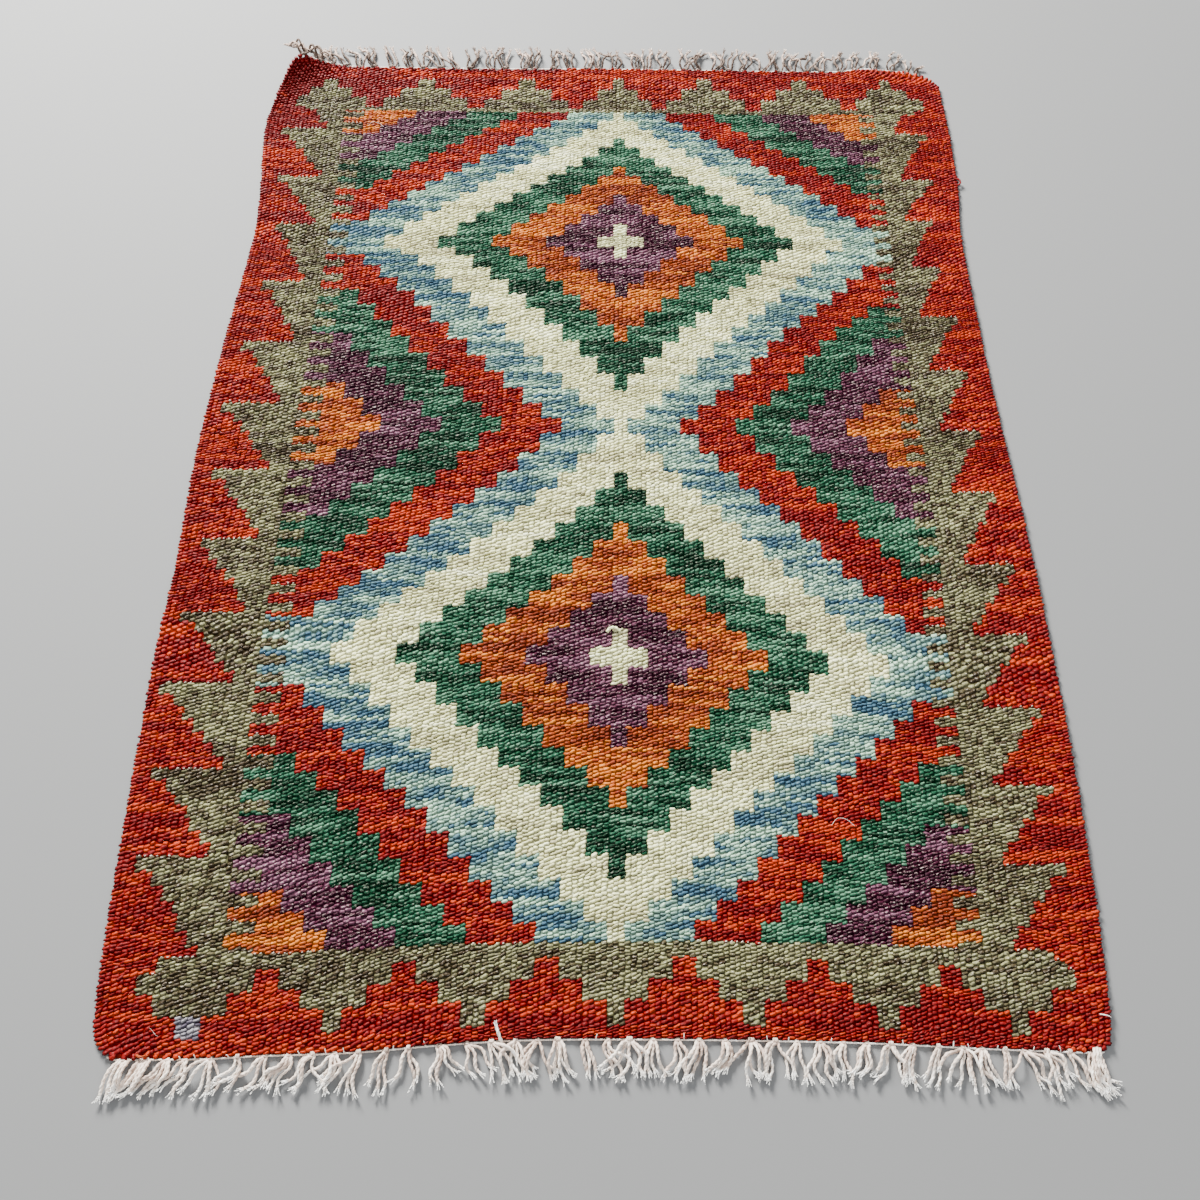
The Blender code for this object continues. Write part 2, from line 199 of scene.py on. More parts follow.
line_rows = np.array([FIRST_ROW, *(line[0] for line in WEFT_LINES), LAST_ROW])
line_floats = np.cumsum([0, *(line[4] for line in WEFT_LINES), LAST_FLOATS]).astype(float)
FLOATS = int(line_floats[-1])


def row_of(float_number):
    """The pattern row that a float, counted from the near end, belongs to."""
    return np.interp(float_number, line_floats, line_rows)


def between_warps(rib, y, left, right):
    """The x of a rib, read between the measured warps and the two selvedges."""
    knots = [0.0, *WARP_RIBS, float(RIBS)]
    places = [left, *(smooth_read(WARPS, k + 1, y) for k in range(len(WARP_RIBS))), right]
    x = left
    for k in range(len(knots) - 1):
        share = np.clip((rib - knots[k]) / (knots[k + 1] - knots[k]), 0, 1)
        x = x + share * (places[k + 1] - places[k])
    inside = np.clip(np.minimum(rib, RIBS - rib) / 6, 0, 1)
    return x + WARP_WANDER * inside * uneven(rib / RIBS, y / WOVEN_LENGTH + 0.5, (60, 48), 5)


def uneven(across, along, cells, seed):
    """Soft unevenness from -1 to 1 over the cloth; cells are the numbers of humps each way."""
    humps = np.random.default_rng(seed).uniform(-1, 1, (cells[1] + 2, cells[0] + 2))
    u = np.clip(across, 0, 1) * cells[0]
    v = np.clip(along, 0, 1) * cells[1]
    i, j = u.astype(int), v.astype(int)
    s, t = u - i, v - j
    s, t = s * s * (3 - 2 * s), t * t * (3 - 2 * t)
    return ((humps[j, i] * (1 - s) + humps[j, i + 1] * s) * (1 - t)
            + (humps[j + 1, i] * (1 - s) + humps[j + 1, i + 1] * s) * t)


WEFT_WANDER, WARP_WANDER = 0.55 * MM, 0.45 * MM
RIDGE_HEIGHT = 0.22 * MM   # rows beaten up harder stand a little higher


def weft_y(row, rib):
    """The y of a weft line inside the cloth: a curve through its left, middle and right place."""
    side = np.clip((rib - MIDDLE_RIB) / FIELD_HALF, -1.15, 1.15)
    left, middle, right = (smooth_read(WEFT_LINES, k, row, unit=1) for k in (1, 2, 3))
    along = (row - FIRST_ROW) / (LAST_ROW - FIRST_ROW)
    wander = uneven(rib / RIBS, along, (34, 60), 3) + 0.6 * uneven(rib / RIBS, along, (85, 90), 4)
    return (middle + side * (right - left) / 2 + side ** 2 * ((left + right) / 2 - middle)
            + WEFT_WANDER * wander)


def plan_of(rib, row, margin=0.0):
    """Where a place on the loom lies on the measuring table, seen from above."""
    rib, row = np.broadcast_arrays(np.asarray(rib, float), np.asarray(row, float))
    first, last = line_rows[1], line_rows[-2]
    inside = weft_y(np.clip(row, first, last), rib)
    x = (rib / RIBS - 0.5) * WOVEN_WIDTH
    y = inside
    for _ in range(3):
        near = smooth_read(ENDS, 1, x) + margin
        far = smooth_read(ENDS, 2, x) - margin
        below = np.clip((first - row) / (first - FIRST_ROW), 0, 1)
        above = np.clip((row - last) / (LAST_ROW - last), 0, 1)
        y = inside + below * (near - inside) + above * (far - inside)
        along = np.clip((y - near) / (far - near), 0, 1)
        x = between_warps(rib, y, selvedge_x("left", along) + margin,
                          selvedge_x("right", along) - margin)
    return x, y


def on_cloth(rib, row, level, sunk=0.0, margin=0.0):
    """A point of the cloth in the frame; level is 0 on its underside and 1 on its upper face."""
    x, y = plan_of(rib, row, margin)
    from_side = np.minimum(rib, RIBS - rib) / RIBS * WOVEN_WIDTH
    along = y / WOVEN_LENGTH + 0.5
    ridges = RIDGE_HEIGHT * (uneven(rib / RIBS, along, (9, 34), 8)
                             + uneven(rib / RIBS, along, (16, 70), 9))
    z = lift(x, y) + level * (thickness(x, y, from_side) + ridges - sunk)
    return np.stack([x + drawn_in(x, y) + TABLE_TO_FRAME.x, y + TABLE_TO_FRAME.y, z], axis=-1)


corner_check = on_cloth(np.array([0.0, 170.0]), np.array([13.0, 13.0]), 1.0)
print("floats along", FLOATS, "- cloth at the waist, mm:", (corner_check / MM).round(1).tolist())

# %% [markdown]
# ## One small class for node maths
# Nodes are easier to read as sums than as boxes and wires. `Shade` wraps one output of a node, and
# Python's operators add the Math nodes. Any other node comes from `Shade.node`, for materials and
# for Geometry Nodes alike.

# %% The Shade class
class Shade:
    """One output of a node; the operators add Math nodes to the same tree."""

    def __init__(self, tree, socket):
        self.tree, self.socket = tree, socket

    @staticmethod
    def node(tree, kind, settings=None, inputs=None, output=0):
        """Add any node: its settings are set first, then its sockets get values or links."""
        made = tree.nodes.new(kind)
        for name, value in (settings or {}).items():
            if name == "stops":
                ramp = made.color_ramp
                while len(ramp.elements) < len(value):
                    ramp.elements.new(0.5)
                for element, (place, colour) in zip(ramp.elements, value):
                    element.position, element.color = place, (*colour, 1.0)
            else:
                setattr(made, name, value)
        for name, value in (inputs or {}).items():
            if isinstance(value, Shade):
                tree.links.new(value.socket, made.inputs[name])
            else:
                made.inputs[name].default_value = value
        return Shade(tree, made.outputs[output])

    def math(self, operation, *others):
        return Shade.node(self.tree, "ShaderNodeMath", {"operation": operation},
                          dict(enumerate((self, *others))))

    def reflected(self, operation, first):
        return Shade.node(self.tree, "ShaderNodeMath", {"operation": operation}, {0: first, 1: self})

    def __add__(self, other): return self.math("ADD", other)
    def __radd__(self, other): return self.math("ADD", other)
    def __sub__(self, other): return self.math("SUBTRACT", other)
    def __rsub__(self, other): return self.reflected("SUBTRACT", other)
    def __mul__(self, other): return self.math("MULTIPLY", other)
    def __rmul__(self, other): return self.math("MULTIPLY", other)
    def __truediv__(self, other): return self.math("DIVIDE", other)
    def __rtruediv__(self, other): return self.reflected("DIVIDE", other)
    def __mod__(self, other): return self.math("FLOORED_MODULO", other)
    def __abs__(self): return self.math("ABSOLUTE")
    def __lt__(self, other): return self.math("LESS_THAN", other)
    def __gt__(self, other): return self.math("GREATER_THAN", other)

    def vector(self, operation, other):
        return Shade.node(self.tree, "ShaderNodeVectorMath", {"operation": operation},
                          {0: self, 1: other})

    def mix(self, first, second):
        """Mix two colours by this value."""
        return Shade.node(self.tree, "ShaderNodeMix", {"data_type": "RGBA"},
                          {0: self, 6: first, 7: second}, output=2)


def floor_of(value):
    return value.math("FLOOR") if isinstance(value, Shade) else np.floor(value)


def least(first, second):
    return first.math("MINIMUM", second) if isinstance(first, Shade) else np.minimum(first, second)


def most(first, second):
    return first.math("MAXIMUM", second) if isinstance(first, Shade) else np.maximum(first, second)


def to_nearest(value, spacing):
    """The distance from a value to the nearest whole multiple of the spacing."""
    if isinstance(value, Shade):
        return value.math("PINGPONG", spacing / 2)
    return np.abs(value - spacing * np.round(value / spacing))


def yes(condition):
    """A comparison as 0 or 1."""
    return condition if isinstance(condition, Shade) else condition.astype(float)


# %% [markdown]
# ## One rule for the pattern
# Two big diamonds stand one above the other. Their rings are counted steps: go so many columns
# across and so many rows along from the middle, add the two counts, and every three steps the weaver
# changes yarn. A sage comb of short fingers locks the field to the border, its outer side is a row
# of toothed steps, and both ends have stepped points. The rule is written once. NumPy reads it to
# choose each float's yarn, and the shader reads the same lines for the cloth underneath, so the two
# always agree. A painted image could carry the pattern too, but a rule stays sharp at any size.

# %% The pattern rule
RED, SAGE, ORANGE, PURPLE, GREEN, CREAM, BLUE, LILAC = range(8)
YARN_NAMES = ("red", "sage", "orange", "purple", "green", "cream", "blue", "lilac")
RING_YARNS = (CREAM, PURPLE, ORANGE, GREEN, CREAM, BLUE, RED, GREEN, PURPLE, ORANGE)
RING_STEPS = 3
DIAMOND_ROWS = 26          # rows between the middles of the two diamonds
HALF_COLUMN = 1.5          # the middle column is three ribs wide
COLUMN_RIBS = 4            # and the others four
SIDE_COLUMNS = 15
FIELD_RIBS = 61.5          # from the middle rib to the comb
COMB_REACH = 65.7          # where the fingers end
TOOTH_ROOT = 69.6          # the narrowest place of the sage border
TOOTH_STEPS = 7
STEP_SHARE, FIRST_STEP_EXTRA = 0.14, 0.08   # how far in each step goes, as a share of the tooth
FINGERS = 4                # of the comb, beside each tooth
ALMOST_ONE = 0.999         # rounds a count up, but leaves a whole one as it is
FIELD_BOTTOM, FIELD_TOP = -13.5, 39.5
BAND_BOTTOM, BAND_TOP = -14.5, 40.0
BAND_RIBS = 76.8
BAND_SLOPE = (4.2, -1.5)   # at the near right the band's end slopes: ribs gained each row, and its start
POINT_SPACING = 23.75      # ribs between two stepped points
POINT_HALVES = (10, 4)     # half width of the widest step, and how much each next one loses
POINT_START, POINT_STOP = 6, 165.3   # the outer points are cut short at the selvedges
POINT_CUTS = (3, 3.5)      # and how much more at each next step, at the left and at the right
POINT_SLIPS = (1.25, 0.5)  # the last one slips inward from its second step on, and the first ones too
SLIP_RIBS = (145, 60)      # where the last one starts, and where the first ones stop
LILAC_ROW, LILAC_RIB = -16.5, 24

TEETH = (  # a tooth's far edge on the left, ribs from the middle to its tip; the same on the right
    (403, 81.5, 403, 79.0), (347, 82.0, 347, 78.3), (289, 81.6, 291, 78.2), (233, 80.6, 244, 77.4),
    (170.5, 80.2, 191, 77.9), (108, 81.3, 138.5, 79.4), (48.5, 82.3, 83.5, 79.2),
    (-13, 81.5, 25.5, 79.3), (-73, 81.8, -31, 80.0), (-133.5, 82.2, -93.5, 80.9),
    (-187, 83.9, -150, 80.1), (-249, 82.3, -205.5, 80.6), (-308.5, 82.4, -261.5, 80.3),
    (-374, 82.0, -315, 80.1), (-430, 82.0, -371, 80.0), (-490, 82.0, -430, 80.0))


def tooth_of(rib, y):
    """How far a place is down its row of teeth (whole numbers are far edges), and the tip's reach."""
    rows = np.array(TEETH, float)
    number = np.arange(len(TEETH), dtype=float)
    phase, reach = [], []
    for top, tip in ((0, 1), (2, 3)):
        down = np.interp(-y / MM, -rows[:, top], number)
        phase.append(down)
        reach.append(rows[np.clip(down.astype(int), 0, len(TEETH) - 1), tip])
    left = rib < MIDDLE_RIB
    return np.where(left, phase[0], phase[1]), np.where(left, reach[0], reach[1])


def yarn_number(rib, row, tooth, tip):
    """Which yarn lies at the middle of a float: the whole pattern, for numbers or for sockets."""
    from_middle = abs(rib - MIDDLE_RIB)
    column = floor_of(most(from_middle - HALF_COLUMN, 0) / COLUMN_RIBS + ALMOST_ONE)
    steps = least(column, SIDE_COLUMNS) + floor_of(least(abs(row), abs(row - DIAMOND_ROWS)) + 0.5)
    ring = floor_of((steps + 1) / RING_STEPS)
    ring_yarn = sum(yes(abs(ring - k) < 0.5) * float(yarn) for k, yarn in enumerate(RING_YARNS))

    finger = yes((tooth * FINGERS) % 1 < 0.5)
    side = yes(rib > MIDDLE_RIB)
    comb = FIELD_RIBS + finger * (COMB_REACH + 0.5 - side - FIELD_RIBS)
    step = floor_of(tooth % 1 * TOOTH_STEPS)
    edge = tip + (TOOTH_ROOT - tip) * (STEP_SHARE * step + FIRST_STEP_EXTRA * least(step, 1))

    outward = most(row - BAND_TOP, BAND_BOTTOM - row)
    point = POINT_HALVES[0] - POINT_HALVES[1] * floor_of(outward)
    in_field = yes(abs(row - (FIELD_BOTTOM + FIELD_TOP) / 2) < (FIELD_TOP - FIELD_BOTTOM) / 2)
    in_ends = yes(outward > 0)
    in_bands = (1 - in_field) * (1 - in_ends)
    in_rings = in_field * yes(from_middle < comb)
    slip = (yes(rib > SLIP_RIBS[0]) * least(floor_of(outward), 1) * POINT_SLIPS[0]
            - yes(rib < SLIP_RIBS[1]) * yes(row < 0) * POINT_SLIPS[1])
    slope = (yes(rib > MIDDLE_RIB) * yes(row < 0)
             * ((FIELD_BOTTOM - row) * BAND_SLOPE[0] + BAND_SLOPE[1]))
    sage = (in_field * yes(from_middle < edge) + in_bands * yes(from_middle - slope < BAND_RIBS)
            + in_ends * yes(to_nearest(rib + slip - MIDDLE_RIB, POINT_SPACING) < point)
            * yes(rib - POINT_CUTS[0] * floor_of(outward) > POINT_START)
            * yes(rib + POINT_CUTS[1] * floor_of(outward) < POINT_STOP))
    odd_tip = yes(row < LILAC_ROW) * yes(rib < LILAC_RIB)   # one point was finished in spare yarn
    return (in_rings * ring_yarn
            + (1 - in_rings) * sage * (float(SAGE) + odd_tip * float(LILAC - SAGE)))


# Every float's rib, count and row. Even ribs lie a quarter float lower and odd ones a quarter
# higher, so that their slanted floats join in diagonal lines.
rib_grid, float_grid = np.meshgrid(np.arange(RIBS), np.arange(FLOATS))
float_rib = rib_grid.ravel() + 0.5
float_number = float_grid.ravel() + 0.25 + 0.5 * (rib_grid.ravel() % 2)
whole_row = row_of(float_grid.ravel() + 0.5)
float_place = on_cloth(float_rib, row_of(float_number), 1.0, sunk=0.0)
float_tooth, float_tip = tooth_of(float_rib, float_place[:, 1] - TABLE_TO_FRAME.y)
float_yarn = np.rint(yarn_number(float_rib, whole_row, float_tooth, float_tip)).astype(int)
for number, name in enumerate(YARN_NAMES):
    print(f"{name}: {(float_yarn == number).sum()} floats")

# %% [markdown]
# ## The camera, the floor and the light
# The camera stands where the photographer stood: about 0.8 m above the floor, in front of the near
# end, looking down at 62 degrees. Its place, aim and lens were fitted to how the rug's four corners
# converge. One big soft light comes from beyond the far left corner, as from a window. It makes each
# float cast a small shadow towards the viewer, and that shows the weave. Pale surroundings fill the
# shadows.

# %% Camera, floor and light
CAMERA_PLACE = Vector((0.0071, -0.5438, 0.7919)) + TABLE_TO_FRAME
CAMERA_AHEAD = Vector((0.02305, 0.47026, -0.88224))
CAMERA_ROLL = math.radians(2.61)
LENS_MM = 37.8

camera_data = bpy.data.cameras.new("photo_camera")
camera_data.lens = LENS_MM
camera_data.sensor_width = 36.0
camera_data.shift_x = -0.038   # the photograph's middle is a little left of its lens axis
camera_data.clip_start = 0.01
camera = bpy.data.objects.new("photo_camera", camera_data)
camera.location = CAMERA_PLACE
camera.rotation_mode = "QUATERNION"
camera.rotation_quaternion = (CAMERA_AHEAD.to_track_quat("-Z", "Y")
                              @ Matrix.Rotation(CAMERA_ROLL, 3, "Z").to_quaternion())
bpy.context.scene.collection.objects.link(camera)
bpy.context.scene.camera = camera

FLOOR_HALF = 4.0
floor_mesh = bpy.data.meshes.new("floor")
floor_mesh.from_pydata([(-FLOOR_HALF, -FLOOR_HALF, 0), (FLOOR_HALF, -FLOOR_HALF, 0),
                        (FLOOR_HALF, FLOOR_HALF, 0), (-FLOOR_HALF, FLOOR_HALF, 0)], [], [(0, 1, 2, 3)])
floor = bpy.data.objects.new("floor", floor_mesh)
bpy.context.scene.collection.objects.link(floor)
floor_paint = bpy.data.materials.new("pale_floor")
floor_paint.use_nodes = True
floor_paint.node_tree.nodes["Principled BSDF"].inputs["Base Color"].default_value = (0.155, 0.155, 0.157, 1)
floor_paint.node_tree.nodes["Principled BSDF"].inputs["Roughness"].default_value = 0.8
floor_mesh.materials.append(floor_paint)


def add_light(name, place, aim, size, watts, colour):
    """A square area light that looks at a point."""
    data = bpy.data.lights.new(name, "AREA")
    data.size, data.energy, data.color = size, watts, colour
    light = bpy.data.objects.new(name, data)
    light.location = place
    light.rotation_mode = "QUATERNION"
    light.rotation_quaternion = (Vector(aim) - Vector(place)).to_track_quat("-Z", "Y")
    bpy.context.scene.collection.objects.link(light)


add_light("window", (-1.1, 2.2, 1.30), (0, 0, 0), 0.8, 580, (1.0, 1.0, 0.96))
add_light("room", (0.9, -1.6, 1.9), (0, 0, 0), 2.2, 46, (0.96, 1.0, 1.0))
world = bpy.data.worlds.new("studio")
world.use_nodes = True
world.node_tree.nodes["Background"].inputs["Color"].default_value = (0.86, 0.88, 0.9, 1)
world.node_tree.nodes["Background"].inputs["Strength"].default_value = 0.9
bpy.context.scene.world = world
print("camera at", [round(v, 3) for v in camera.location])

# %% [markdown]
# ## Hand-dyed wool
# Each yarn was dyed in small lots, so a colour runs in streaks: a lot lasts a few rows, and single
# picks stand out lighter or darker. The material reads the loom numbers that every float carries,
# not the camera or the floor, so a streak follows the weft. Slow noise chooses the lot, faster noise
# picks out rows, and white noise gives each float its own shade. A ramp turns that number into the
# dye's colours. Fine noise, drawn out along the yarn, roughens the surface like spun fibre. The dye
# lots weren't chosen by eye alone: a separate program fitted them to the yarns' average colours in
# the photograph, and they were then changed by hand.

# %% Wool colours
def from_screen(red, green, blue):
    """A colour read off a screen, made linear for the shader."""
    return tuple(((v / 255 + 0.055) / 1.055) ** 2.4 if v > 10 else v / 255 / 12.92
                 for v in (red, green, blue))


DYES = {  # darkest to lightest lot of each yarn
    RED: ((102, 1, 5), (117, 2, 6), (135, 12, 4), (171, 46, 9)),
    SAGE: ((58, 46, 29), (84, 76, 51), (106, 103, 73), (144, 141, 99)),
    ORANGE: ((110, 36, 9), (146, 57, 13), (171, 80, 21), (206, 116, 36)),
    PURPLE: ((46, 4, 26), (60, 12, 35), (76, 27, 50), (114, 69, 90)),
    GREEN: ((3, 41, 23), (11, 63, 40), (34, 86, 62), (77, 122, 94)),
    CREAM: ((172, 166, 130), (213, 211, 160), (243, 243, 187), (253, 254, 216)),
    BLUE: ((56, 88, 107), (97, 127, 124), (124, 155, 140), (172, 204, 178)),
    LILAC: ((72, 64, 78), (98, 92, 104), (124, 120, 128), (156, 150, 154)),
}
LOT_RAMP = (0.16, 0.42, 0.60, 0.86)
LOT_NOISES = (  # slow lots, bands and rows: change by rib, float and yarn, then the start and detail
    (0.012, 0.06, 7.3, 0, 1.0), (0.018, 0.30, 5.7, 20, 0.0), (0.10, 0.90, 3.1, 40, 0.0))
STREAKS = {  # how much the slow lots, the bands, the single rows and the single floats vary
    RED: (0.45, 0.7, 0.9, 0.75), SAGE: (0.3, 0.3, 0.45, 0.7), ORANGE: (0.4, 0.45, 0.8, 0.45),
    PURPLE: (0.35, 0.5, 0.9, 0.4), GREEN: (0.35, 0.4, 1.0, 0.4), CREAM: (0.3, 0.2, 0.3, 0.3),
    BLUE: (0.3, 0.35, 0.9, 0.45), LILAC: (0.3, 0.3, 0.5, 0.5)}
PAINTED_GLINTS = {  # painted highlight: how strongly pale glints lighten the fibres on top of each float
    RED: 0.08, SAGE: 0.65, ORANGE: 0.15, PURPLE: 0.65, GREEN: 0.35, CREAM: 0.0, BLUE: 0.1, LILAC: 0.2}
# painted highlight: where the fibre noise starts to carry a pale glint, how sharply, and the glint's colour
GLINT_START, GLINT_CONTRAST = 0.57, 8
GLINT_COLOUR = (0.66, 0.58, 0.50, 1)
PLAIN_FOOT_SHADE = 0.42           # painted shade: how light a float's colour stays at its foot, down in the weave
FOOT_SHADE = {SAGE: 0.30}   # and the yarn that differs
TIP_LOTS = {  # the middle tip of a ring woven from another lot: its row, and the change of tone
    GREEN: ((10, -0.45), (-10, -0.25)), PURPLE: ((4, 0.3), (30, 0.3))}
CORNER_LOT = -0.55          # the curled corner was woven from the darkest red
CORNER_ROW, CORNER_ROW_FADE = 35, 6    # the pattern row where that lot starts, and rows to its full tone
CORNER_RIB, CORNER_RIB_FADE = 30, 16   # the same in ribs


def read_attribute(tree, name, output="Vector"):
    return Shade.node(tree, "ShaderNodeAttribute", {"attribute_name": name}, output=output)


def split_vector(vector):
    return [Shade.node(vector.tree, "ShaderNodeSeparateXYZ", None, {0: vector}, output=k)
            for k in range(3)]


def join_vector(tree, x, y, z):
    return Shade.node(tree, "ShaderNodeCombineXYZ", None, {0: x, 1: y, 2: z})


def all_three(value):
    """One value as a vector, for scaling evenly or for a grey."""
    return join_vector(value.tree, value, value, value)


def noise(vector, scale, detail=0.0):
    return Shade.node(vector.tree, "ShaderNodeTexNoise", {"noise_dimensions": "3D"},
                      {"Vector": vector, "Scale": scale, "Detail": detail})


def dyed(rib, row, number, yarn):
    """The dye's colour for the float at this rib, pattern row and count."""
    tree = rib.tree
    *lots, single = STREAKS[yarn]
    tone = 0.5
    for (by_rib, by_float, by_yarn, start, detail), share in zip(LOT_NOISES, lots):
        place = join_vector(tree, rib * by_rib, number * by_float, by_yarn * yarn + start)
        tone = tone + (noise(place, 1.0, detail) - 0.5) * (2 * share)
    fleck = Shade.node(tree, "ShaderNodeTexWhiteNoise", {"noise_dimensions": "3D"},
                       {"Vector": join_vector(tree, floor_of(rib), floor_of(number), yarn + 0.5)})
    tone = tone + (fleck - 0.5) * single
    for tip_row, change in TIP_LOTS.get(yarn, ()):
        tone = tone + yes(abs(rib - MIDDLE_RIB) < HALF_COLUMN) * yes(abs(row - tip_row) < 0.5) * change
    if yarn == RED:
        by_curl = (most(least((row - CORNER_ROW) / CORNER_ROW_FADE, 1), 0)
                   * most(least((CORNER_RIB - rib) / CORNER_RIB_FADE, 1), 0))
        tone = tone + by_curl * CORNER_LOT
    return Shade.node(tree, "ShaderNodeValToRGB", {"stops": tuple(zip(LOT_RAMP, DYES_LINEAR[yarn]))},
                      {0: tone})


DYES_LINEAR = {yarn: [from_screen(*lot) for lot in lots] for yarn, lots in DYES.items()}


def new_material(name, roughness, gloss):
    """A material with its Principled shader's constants set, and its tree."""
    material = bpy.data.materials.new(name)
    material.use_nodes = True
    tree = material.node_tree
    shader = tree.nodes["Principled BSDF"]
    shader.inputs["Roughness"].default_value = roughness
    shader.inputs["Specular IOR Level"].default_value = gloss
    return material, tree, shader


def connect(value, socket):
    value.tree.links.new(value.socket, socket)


def add_bump(shader, height, strength, distance):
    bump = Shade.node(height.tree, "ShaderNodeBump", None,
                      {"Strength": strength, "Distance": distance, "Height": height})
    connect(bump, shader.inputs["Normal"])


def in_shade(colour, depth):
    """A colour multiplied by a value, for painted shade and painted light."""
    return Shade.node(colour.tree, "ShaderNodeMix", {"data_type": "RGBA", "blend_type": "MULTIPLY"},
                      {0: 1.0, 6: colour, 7: all_three(depth)}, output=2)


def fibre_bump(tree, shader, strength, distance, along=480.0, across=1500.0):
    """Fine fibres, drawn out across the rug as the weft runs."""
    place = Shade.node(tree, "ShaderNodeTexCoord", output="Object")
    turned = Shade.node(tree, "ShaderNodeMapping", {"vector_type": "POINT"},
                        {"Vector": place, "Rotation": (0, 0, -FLOAT_SLANT)})
    height = noise(turned.vector("MULTIPLY", (along, across, across)), 1.0, 2.0)
    add_bump(shader, height, strength, distance)
    return height


FLOAT_SLANT, SLANT_SWING = math.radians(19), math.radians(9)


def make_float_wool(yarn):
    """The wool of one yarn, for the floats: painted shade down in the weave, painted highlights on top."""
    material, tree, shader = new_material(f"wool_{YARN_NAMES[yarn]}", 0.55, 0.10)
    rib, row, number = split_vector(read_attribute(tree, "loom"))
    rise = read_attribute(tree, "rise", "Fac")
    colour = dyed(rib, row, number, yarn)
    fibres = fibre_bump(tree, shader, 0.7, 0.0005)
    # Painted highlight: pale glints on the fibres, only towards the top of each float.
    pale = least(most((fibres - GLINT_START) * GLINT_CONTRAST, 0), 1) * rise * PAINTED_GLINTS[yarn]
    colour = pale.mix(colour, GLINT_COLOUR)
    foot = FOOT_SHADE.get(yarn, PLAIN_FOOT_SHADE)
    # Painted shade: darker at the float's foot, down in the weave; painted light: lighter where the fibre
    # bump rises.
    depth = (foot + (1 - foot) * rise) * (0.12 + 1.76 * fibres)
    connect(in_shade(colour, depth), shader.inputs["Base Color"])
    return material


def make_cloth_wool():
    """The cloth under the floats: the same rule and dyes, darkened as painted shade of the yarn above."""
    material, tree, shader = new_material("wool_cloth", 0.92, 0.0)
    rib, row, number = split_vector(read_attribute(tree, "loom"))
    tooth, tip, _ = split_vector(read_attribute(tree, "teeth"))
    middle_rib = floor_of(rib) + 0.5
    yarn = yarn_number(middle_rib, row, tooth, tip)
    colour = dyed(middle_rib, row, number, RED)
    for other in range(1, len(YARN_NAMES)):
        is_other = yes(abs(yarn - float(other)) < 0.5)
        colour = is_other.mix(colour, dyed(middle_rib, row, number, other))
    offset = (floor_of(rib) % 2) * 0.5
    weave = (to_nearest(rib, 1.0) * 2) * (to_nearest(number - offset + 0.25, 1.0) * 2)
    # Painted shade: the cloth stays dark under the floats, and darkest in the dips between its threads.
    connect(in_shade(colour, 0.24 + 0.4 * weave), shader.inputs["Base Color"])
    add_bump(shader, weave, 0.9, 0.0008)
    return material


wool = [make_float_wool(yarn) for yarn in range(len(YARN_NAMES))]
cloth_wool = make_cloth_wool()
print("wool materials:", len(wool), "cloth nodes:", len(cloth_wool.node_tree.nodes))

# %% [markdown]
# ## The cloth itself
# Under its floats the rug is one closed sheet, 3 mm thick with the yarn on it. Its net follows the
# loom's own lines, so every point knows its rib, row and count, and the pattern needs no unwrapping.
# An upper net, a lower net and a rim between them make it closed, as for a flat cushion. A Solidify
# modifier would give a square edge; three nets give the soft one of a real selvedge.

# %% Build the cloth
FLOAT_RISE = 1.15 * MM
TOP_ROUNDING, UNDER_ROUNDING, RIM_LEVEL = 1.3 * MM, 0.5 * MM, 0.5
NET_RIBS, NET_FLOATS = 100, 152


def net_of(margin, level):
    """One face of the cloth as arrays of points and loom numbers."""
    ribs = np.linspace(0, RIBS, NET_RIBS + 1)
    floats = np.linspace(0, FLOATS, NET_FLOATS + 1)
    rib, number = np.meshgrid(ribs, floats)
    row = row_of(number)
    points = on_cloth(rib, row, level, sunk=FLOAT_RISE, margin=margin)
    tooth, tip = tooth_of(rib, points[..., 1] - TABLE_TO_FRAME.y)
    return points, np.stack([rib, row, number], -1), np.stack([tooth, tip, 0 * tip], -1)


def outline_of(columns, rows):
    """The numbers of a net's outer points, in order."""
    grid = np.arange((columns + 1) * (rows + 1)).reshape(rows + 1, columns + 1)
    return np.concatenate([grid[0], grid[1:-1, -1], grid[-1][::-1], grid[1:-1, 0][::-1]])


def set_vectors(mesh, name, values):
    attribute = mesh.attributes.new(name, "FLOAT_VECTOR", "POINT")
    attribute.data.foreach_set("vector", np.ascontiguousarray(values, np.float32).ravel())


def set_numbers(mesh, name, values):
    attribute = mesh.attributes.new(name, "FLOAT", "POINT")
    attribute.data.foreach_set("value", np.ascontiguousarray(values, np.float32))


def bake_map(mesh, hidden_corners=None):
    """A flat map of the piece seen from above; hidden faces get no room on it."""
    corners = np.empty(len(mesh.loops), np.int32)
    mesh.loops.foreach_get("vertex_index", corners)
    points = np.empty(len(mesh.vertices) * 3, np.float32)
    mesh.vertices.foreach_get("co", points)
    plan = points.reshape(-1, 3)[:, :2]
    low, high = plan.min(0), plan.max(0)
    places = ((plan - low) / (high - low) * 0.97 + 0.01)[corners]
    if hidden_corners is not None:
        places[hidden_corners] = (0.99, 0.5)
    layer = mesh.uv_layers.new(name="OFBake")
    layer.data.foreach_set("uv", np.ascontiguousarray(places, np.float32).ravel())


def map_and_count(piece):
    """Give a finished piece its map, and print how many triangles it has."""
    bake_map(piece.data)
    piece.data.calc_loop_triangles()
    print(piece.name, "triangles:", len(piece.data.loop_triangles))


def new_object(name, mesh, material):
    if material is not None:
        mesh.materials.clear()
        mesh.materials.append(material)
    piece = bpy.data.objects.new(name, mesh)
    bpy.context.scene.collection.objects.link(piece)
    return piece


